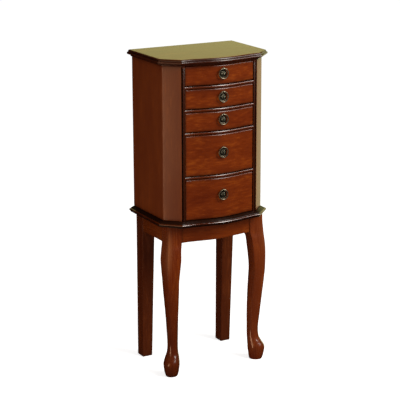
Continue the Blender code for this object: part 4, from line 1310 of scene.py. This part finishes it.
@dataclass
class Stand:
    """Cabriole front legs, raked rear legs and the aprons between them."""

    plan: CasePlan
    finishes: Finishes
    post: float = 0.044
    swell: float = 0.014

    def build(self) -> None:
        """Builds the legs and aprons."""
        for side, word in SIDES:
            self.build_front_leg(side, word)
            self.build_rear_leg(side, word)
            self.build_side_apron(word)
        self.build_front_apron()
        self.build_rear_apron()

    def build_front_leg(self, side: int, word: str) -> None:
        """A cabriole leg: superellipses |u|^n + |v|^n = 1 along a smooth curve through the stations."""
        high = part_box(f"{word}_front_leg")[1]
        post_x = max(abs(corner.x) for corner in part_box(f"{word}_rear_leg"))
        apron_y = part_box(f"{word}_apron")[0].y - CLEAR
        centre = np.array([side * (post_x - self.post / 2), apron_y - self.post / 2])
        share = np.unique(np.concatenate([np.linspace(0, 1, 120), CABRIOLE[:, 0], [0.002, 0.005]]))
        level = share[:, None]
        station = through(share, CABRIOLE[:, 0], CABRIOLE[:, 1:])
        turn = np.linspace(0, 2 * np.pi, 72, endpoint=False)
        u, v = np.cos(turn), np.sin(turn)
        power = (2 / station[:, 3:4])
        reach = np.sign(u) * np.abs(u) ** power * station[:, 1:2] + station[:, 0:1]
        width = np.sign(v) * np.abs(v) ** power * station[:, 2:3]
        along = np.array([side, -1]) / math.sqrt(2)
        across = np.array([1, side]) / math.sqrt(2)
        flat = centre + reach[..., None] * along + width[..., None] * across
        zs = np.broadcast_to(level * high.z, reach.shape)
        rings = np.concatenate([flat, zs[..., None]], -1)
        # Darker towards the floor.
        foot = np.exp(-zs / 0.010) * 0.35
        # Painted shade that deepens down the lower part of the left leg.
        painted_ankle_shade = np.clip(1 - zs / high.z / 0.75, 0, 1) * (0.42 if side < 0 else 0.0)
        # Strength of the painted highlight along the knee's outer corner, more on the left leg.
        wear_and_highlight = 1.5 if side < 0 else 0.5
        painted_ridge_highlight = np.clip(u, 0, 1) ** 10 * np.exp(-((level - 0.84) / 0.13) ** 2) * wear_and_highlight
        knee = np.exp(-((level - 0.80) / 0.22) ** 2)
        # Painted light on the left leg's left side at the knee; the right leg is lightened a little all over,
        # also painted light.
        painted_flank_light = np.clip(-v, 0, 1) ** 1.5 * knee * 0.45 if side < 0 else np.full(reach.shape, 0.12)
        make_piece(f"{word}_cabriole_leg", carried(rings, foot + painted_ankle_shade - painted_ridge_highlight - painted_flank_light),
                   self.finishes.leg, "case", [f"{word}_front_leg"], 55.0)

    def build_rear_leg(self, side: int, word: str) -> None:
        """A square leg with eased corners: straight beside the aprons, then tapered and raked back."""
        low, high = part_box(f"{word}_rear_leg")
        outside = max(abs(low.x), abs(high.x))
        inner = min(abs(low.x), abs(high.x))
        apron_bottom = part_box("rear_apron")[0].z
        foot_width, foot_depth, foot_inset, depth = 0.0327, 0.0367, 0.0043, 0.043
        back = self.plan.back_y
        ends = np.array([[outside - foot_inset, high.y, foot_width, foot_depth],
                         [outside, back, outside - inner, depth]])
        heights = np.concatenate([[0.0, 0.0004, 0.0012], spaced(0.004, apron_bottom, 24),
                                  [apron_bottom + 0.002, high.z]])
        share = np.clip(heights / apron_bottom, 0, 1)[:, None]
        sizes = ends[0] + (ends[1] - ends[0]) * share
        shrink = np.array([0.0012, 0.0004] + [0.0] * (len(heights) - 2))
        outlines = []
        for (far, rear, width, deep), tuck in zip(sizes, shrink):
            near, front = far - width, rear - deep
            corners = [(side * near, front), (side * far, front), (side * far, rear), (side * near, rear)]
            outlines.append(Plan.eased(corners, 0.0022, 5).inset(tuck))
        rings = stacked(outlines, heights)
        glaze = np.exp(-rings[..., 2] / 0.008) * 0.4
        make_piece(f"{word}_raked_leg", carried(rings, glaze), self.finishes.rear_leg, "case",
                   [f"{word}_rear_leg"], 50.0)

    def build_front_apron(self) -> None:
        """The front apron: serpentine in plan, with an eased lower edge."""
        low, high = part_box("front_apron")
        half = high.x
        reach = low.y + self.swell
        xs = spaced(-half, half, 64)
        front = np.column_stack([xs, self.plan.wave(xs, half, reach, self.swell)])
        plan = Plan(np.concatenate([front, [(half, high.y), (-half, high.y)]]))

        def glaze(points: Array) -> Array:
            """Painted shade under the base board and beside the legs, and darker along the lower edge."""
            head = np.exp(-(high.z - points[..., 2]) / 0.006) * 0.4
            ends = np.exp(-(half - np.abs(points[..., 0])) / 0.0035) * 0.5
            foot = np.exp(-(points[..., 2] - low.z) / 0.002) * 0.3
            return np.maximum(head, np.maximum(ends, foot))

        make_piece("front_apron_serpentine", lifted(plan, low.z, high.z, 0.0010, 3, 16, glaze),
                   self.finishes.apron, "case", ["front_apron"], 50.0)

    def build_side_apron(self, word: str) -> None:
        """A plain side apron with eased edges."""
        low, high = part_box(f"{word}_apron")
        make_piece(f"{word}_apron_eased", self.board(low, high), self.finishes.side_apron, "case",
                   [f"{word}_apron"], 50.0)

    def build_rear_apron(self) -> None:
        """The plain rear apron with eased edges."""
        low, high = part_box("rear_apron")
        make_piece("rear_apron_eased", self.board(low, high), self.finishes.apron, "case",
                   ["rear_apron"], 50.0)

    def board(self, low: Vector, high: Vector) -> Shell:
        """An apron board, with painted shade under the base board."""
        plan = Plan.eased([(low.x, low.y), (high.x, low.y), (high.x, high.y), (low.x, high.y)], 0.0006, 2)
        return lifted(plan, low.z, high.z, 0.0012, 3, 14,
                      lambda points: np.exp(-(high.z - points[..., 2]) / 0.009) * 0.6)


# ------------------------------------------------------------------ studio
@dataclass
class Studio:
    """Pale floor, white surroundings, soft lights and the camera."""

    aim: tuple[float, float, float] = (0.0, 0.0, 0.62)
    camera_place: tuple[float, float, float] = (-2.028, -3.674, 1.651)
    yaw: float = -29.46
    pitch: float = 14.57
    lens: float = 129.6
    shift: tuple[float, float] = (-0.04, -0.04)

    def build(self) -> None:
        """Sets up the whole studio."""
        scene = bpy.context.scene
        scene.view_settings.view_transform = "Standard"
        scene.view_settings.look = "None"
        self.build_camera()
        self.build_world()
        self.build_floor()
        self.softbox("key", 33.0, 36.0, 2.6, (1.0, 1.7), 47.0, (1.0, 0.97, 0.91))
        self.softbox("right_strip", 54.0, 30.0, 2.8, (0.45, 1.5), 9.0, (1.0, 0.97, 0.92))
        self.softbox("left_fill", -62.0, 6.0, 2.8, (1.2, 2.0), 6.4, (1.0, 0.55, 0.29))
        self.softbox("left_strip", -70.0, -14.0, 2.8, (0.30, 1.3), 6.0, (1.0, 0.58, 0.34))
        self.reflector("rear_wall", (0.71, 0.70, 0.22), 3.4, (5.6, 2.6), (0.55, 0.57, 0.22), 1.15)
        self.reflector("right_wall", (0.882, 0.471, -0.16), 3.2, (1.8, 2.8), (0.60, 0.61, 0.33), 1.45)

    def build_camera(self) -> None:
        """A level-headed camera on the armoire's left front."""
        data = bpy.data.cameras.new("camera")
        data.lens, data.sensor_width = self.lens, 36.0
        data.shift_x, data.shift_y = self.shift
        data.clip_start, data.clip_end = 0.1, 60.0
        camera = bpy.data.objects.new("camera", data)
        camera.location = self.camera_place
        camera.rotation_euler = Euler((math.radians(90 - self.pitch), 0.0, math.radians(self.yaw)))
        bpy.context.collection.objects.link(camera)
        bpy.context.scene.camera = camera

    def build_world(self) -> None:
        """White to the camera and weak to everything else."""
        world = bpy.data.worlds.new("studio")
        bpy.context.scene.world = world
        world.use_nodes = True
        tree = world.node_tree
        background = tree.nodes["Background"]
        background.inputs["Color"].default_value = (1.0, 1.0, 1.0, 1.0)
        path = tree.nodes.new("ShaderNodeLightPath")
        strength = tree.nodes.new("ShaderNodeMapRange")
        tree.links.new(path.outputs["Is Camera Ray"], strength.inputs["Value"])
        strength.inputs["To Min"].default_value = 0.35
        strength.inputs["To Max"].default_value = 1.0
        tree.links.new(strength.outputs[0], background.inputs["Strength"])
        world.cycles_visibility.glossy = False

    def build_floor(self) -> None:
        """A wide pale floor that only the camera sees."""
        mesh = bpy.data.meshes.new("floor")
        reach = 14.0
        mesh.from_pydata([(-reach, -reach, 0), (reach, -reach, 0), (reach, reach, 0), (-reach, reach, 0)], [],
                         [(0, 1, 2, 3)])
        recipe = Recipe("pale_floor")
        recipe.finish({"Base Color": (0.94, 0.94, 0.94), "Roughness": 0.9, "Specular IOR Level": 0.0,
                       "Emission Color": (1.0, 1.0, 1.0), "Emission Strength": 0.68})
        mesh.materials.append(recipe.material)
        floor = bpy.data.objects.new("floor", mesh)
        bpy.context.collection.objects.link(floor)
        floor.visible_diffuse = floor.visible_glossy = floor.visible_shadow = False

    def softbox(self, name: str, azimuth: float, elevation: float, distance: float, size: tuple[float, float],
                power: float, colour: Colour) -> None:
        """A rectangular softbox aimed at the case.

        Args:
            name: the light's name.
            azimuth: degrees from the front, positive towards the right.
            elevation: degrees above the aim.
            distance: metres from the aim.
            size: width and height.
            power: watts.
            colour: its colour.
        """
        data = bpy.data.lights.new(name, "AREA")
        data.shape = "RECTANGLE"
        data.size, data.size_y = size
        data.energy, data.color = power, colour
        light = bpy.data.objects.new(name, data)
        a, e = math.radians(azimuth), math.radians(elevation)
        towards = Vector((math.sin(a) * math.cos(e), -math.cos(a) * math.cos(e), math.sin(e)))
        light.location = Vector(self.aim) + towards * distance
        light.rotation_euler = towards.to_track_quat("Z", "Y").to_euler()
        bpy.context.collection.objects.link(light)

    def reflector(self, name: str, towards: Colour, distance: float, size: tuple[float, float],
                  colour: Colour, strength: float) -> None:
        """An olive wall that shows only in gloss and fades towards its edges.

        Args:
            name: the wall's name.
            towards: direction from the case to the wall.
            distance: metres from the case.
            size: width and height.
            colour: its colour.
            strength: its brightness.
        """
        out = Vector(towards).normalized()
        across = Vector((0, 0, 1)).cross(out).normalized()
        up = out.cross(across)
        centre = Vector(self.aim) + out * distance
        signs = ((-1, -1), (1, -1), (1, 1), (-1, 1))
        corners = [centre + across * x * size[0] / 2 + up * y * size[1] / 2 for x, y in signs]
        mesh = bpy.data.meshes.new(name)
        mesh.from_pydata([tuple(c) for c in corners], [], [(0, 1, 2, 3)])
        recipe = Recipe(name)
        place = recipe.node("ShaderNodeTexCoord", {}, {}, "Object")
        glow: Term | float = 1.0
        for axis, length in ((across, size[0]), (up, size[1])):
            along = recipe.node("ShaderNodeVectorMath", {"operation": "DOT_PRODUCT"},
                                {0: place, 1: tuple(axis)}, "Value")
            offset = (along - centre.dot(axis)) * (2 / length)
            glow = (1 - (offset * offset).eased(0.2, 0.95)) * glow
        light = recipe.mix(glow, (0.0, 0.0, 0.0), colour)
        recipe.finish({"Base Color": (0.0, 0.0, 0.0), "Roughness": 1.0, "Specular IOR Level": 0.0,
                       "Emission Color": light, "Emission Strength": strength})
        mesh.materials.append(recipe.material)
        wall = bpy.data.objects.new(name, mesh)
        bpy.context.collection.objects.link(wall)
        wall.visible_camera = wall.visible_diffuse = wall.visible_shadow = False


POCKETS = (1, 1, 1, 2, 3)     # compartments across each drawer, bottom to top


def main() -> None:
    """Builds the armoire from the case out, then the studio."""
    logging.basicConfig(level=logging.INFO, format="%(name)s: %(message)s")
    plan = CasePlan()
    finishes = Finishes()
    Carcass(plan, finishes).build()
    for side, word in SIDES:
        Door(plan, finishes, side, word).build()
    for number, pockets in enumerate(POCKETS, start=1):
        Drawer(plan, finishes, number, pockets).build()
    Lid(plan, finishes).build()
    Hinges(finishes).build()
    Stand(plan, finishes).build()
    Studio().build()


if __name__ == "__main__":
    main()
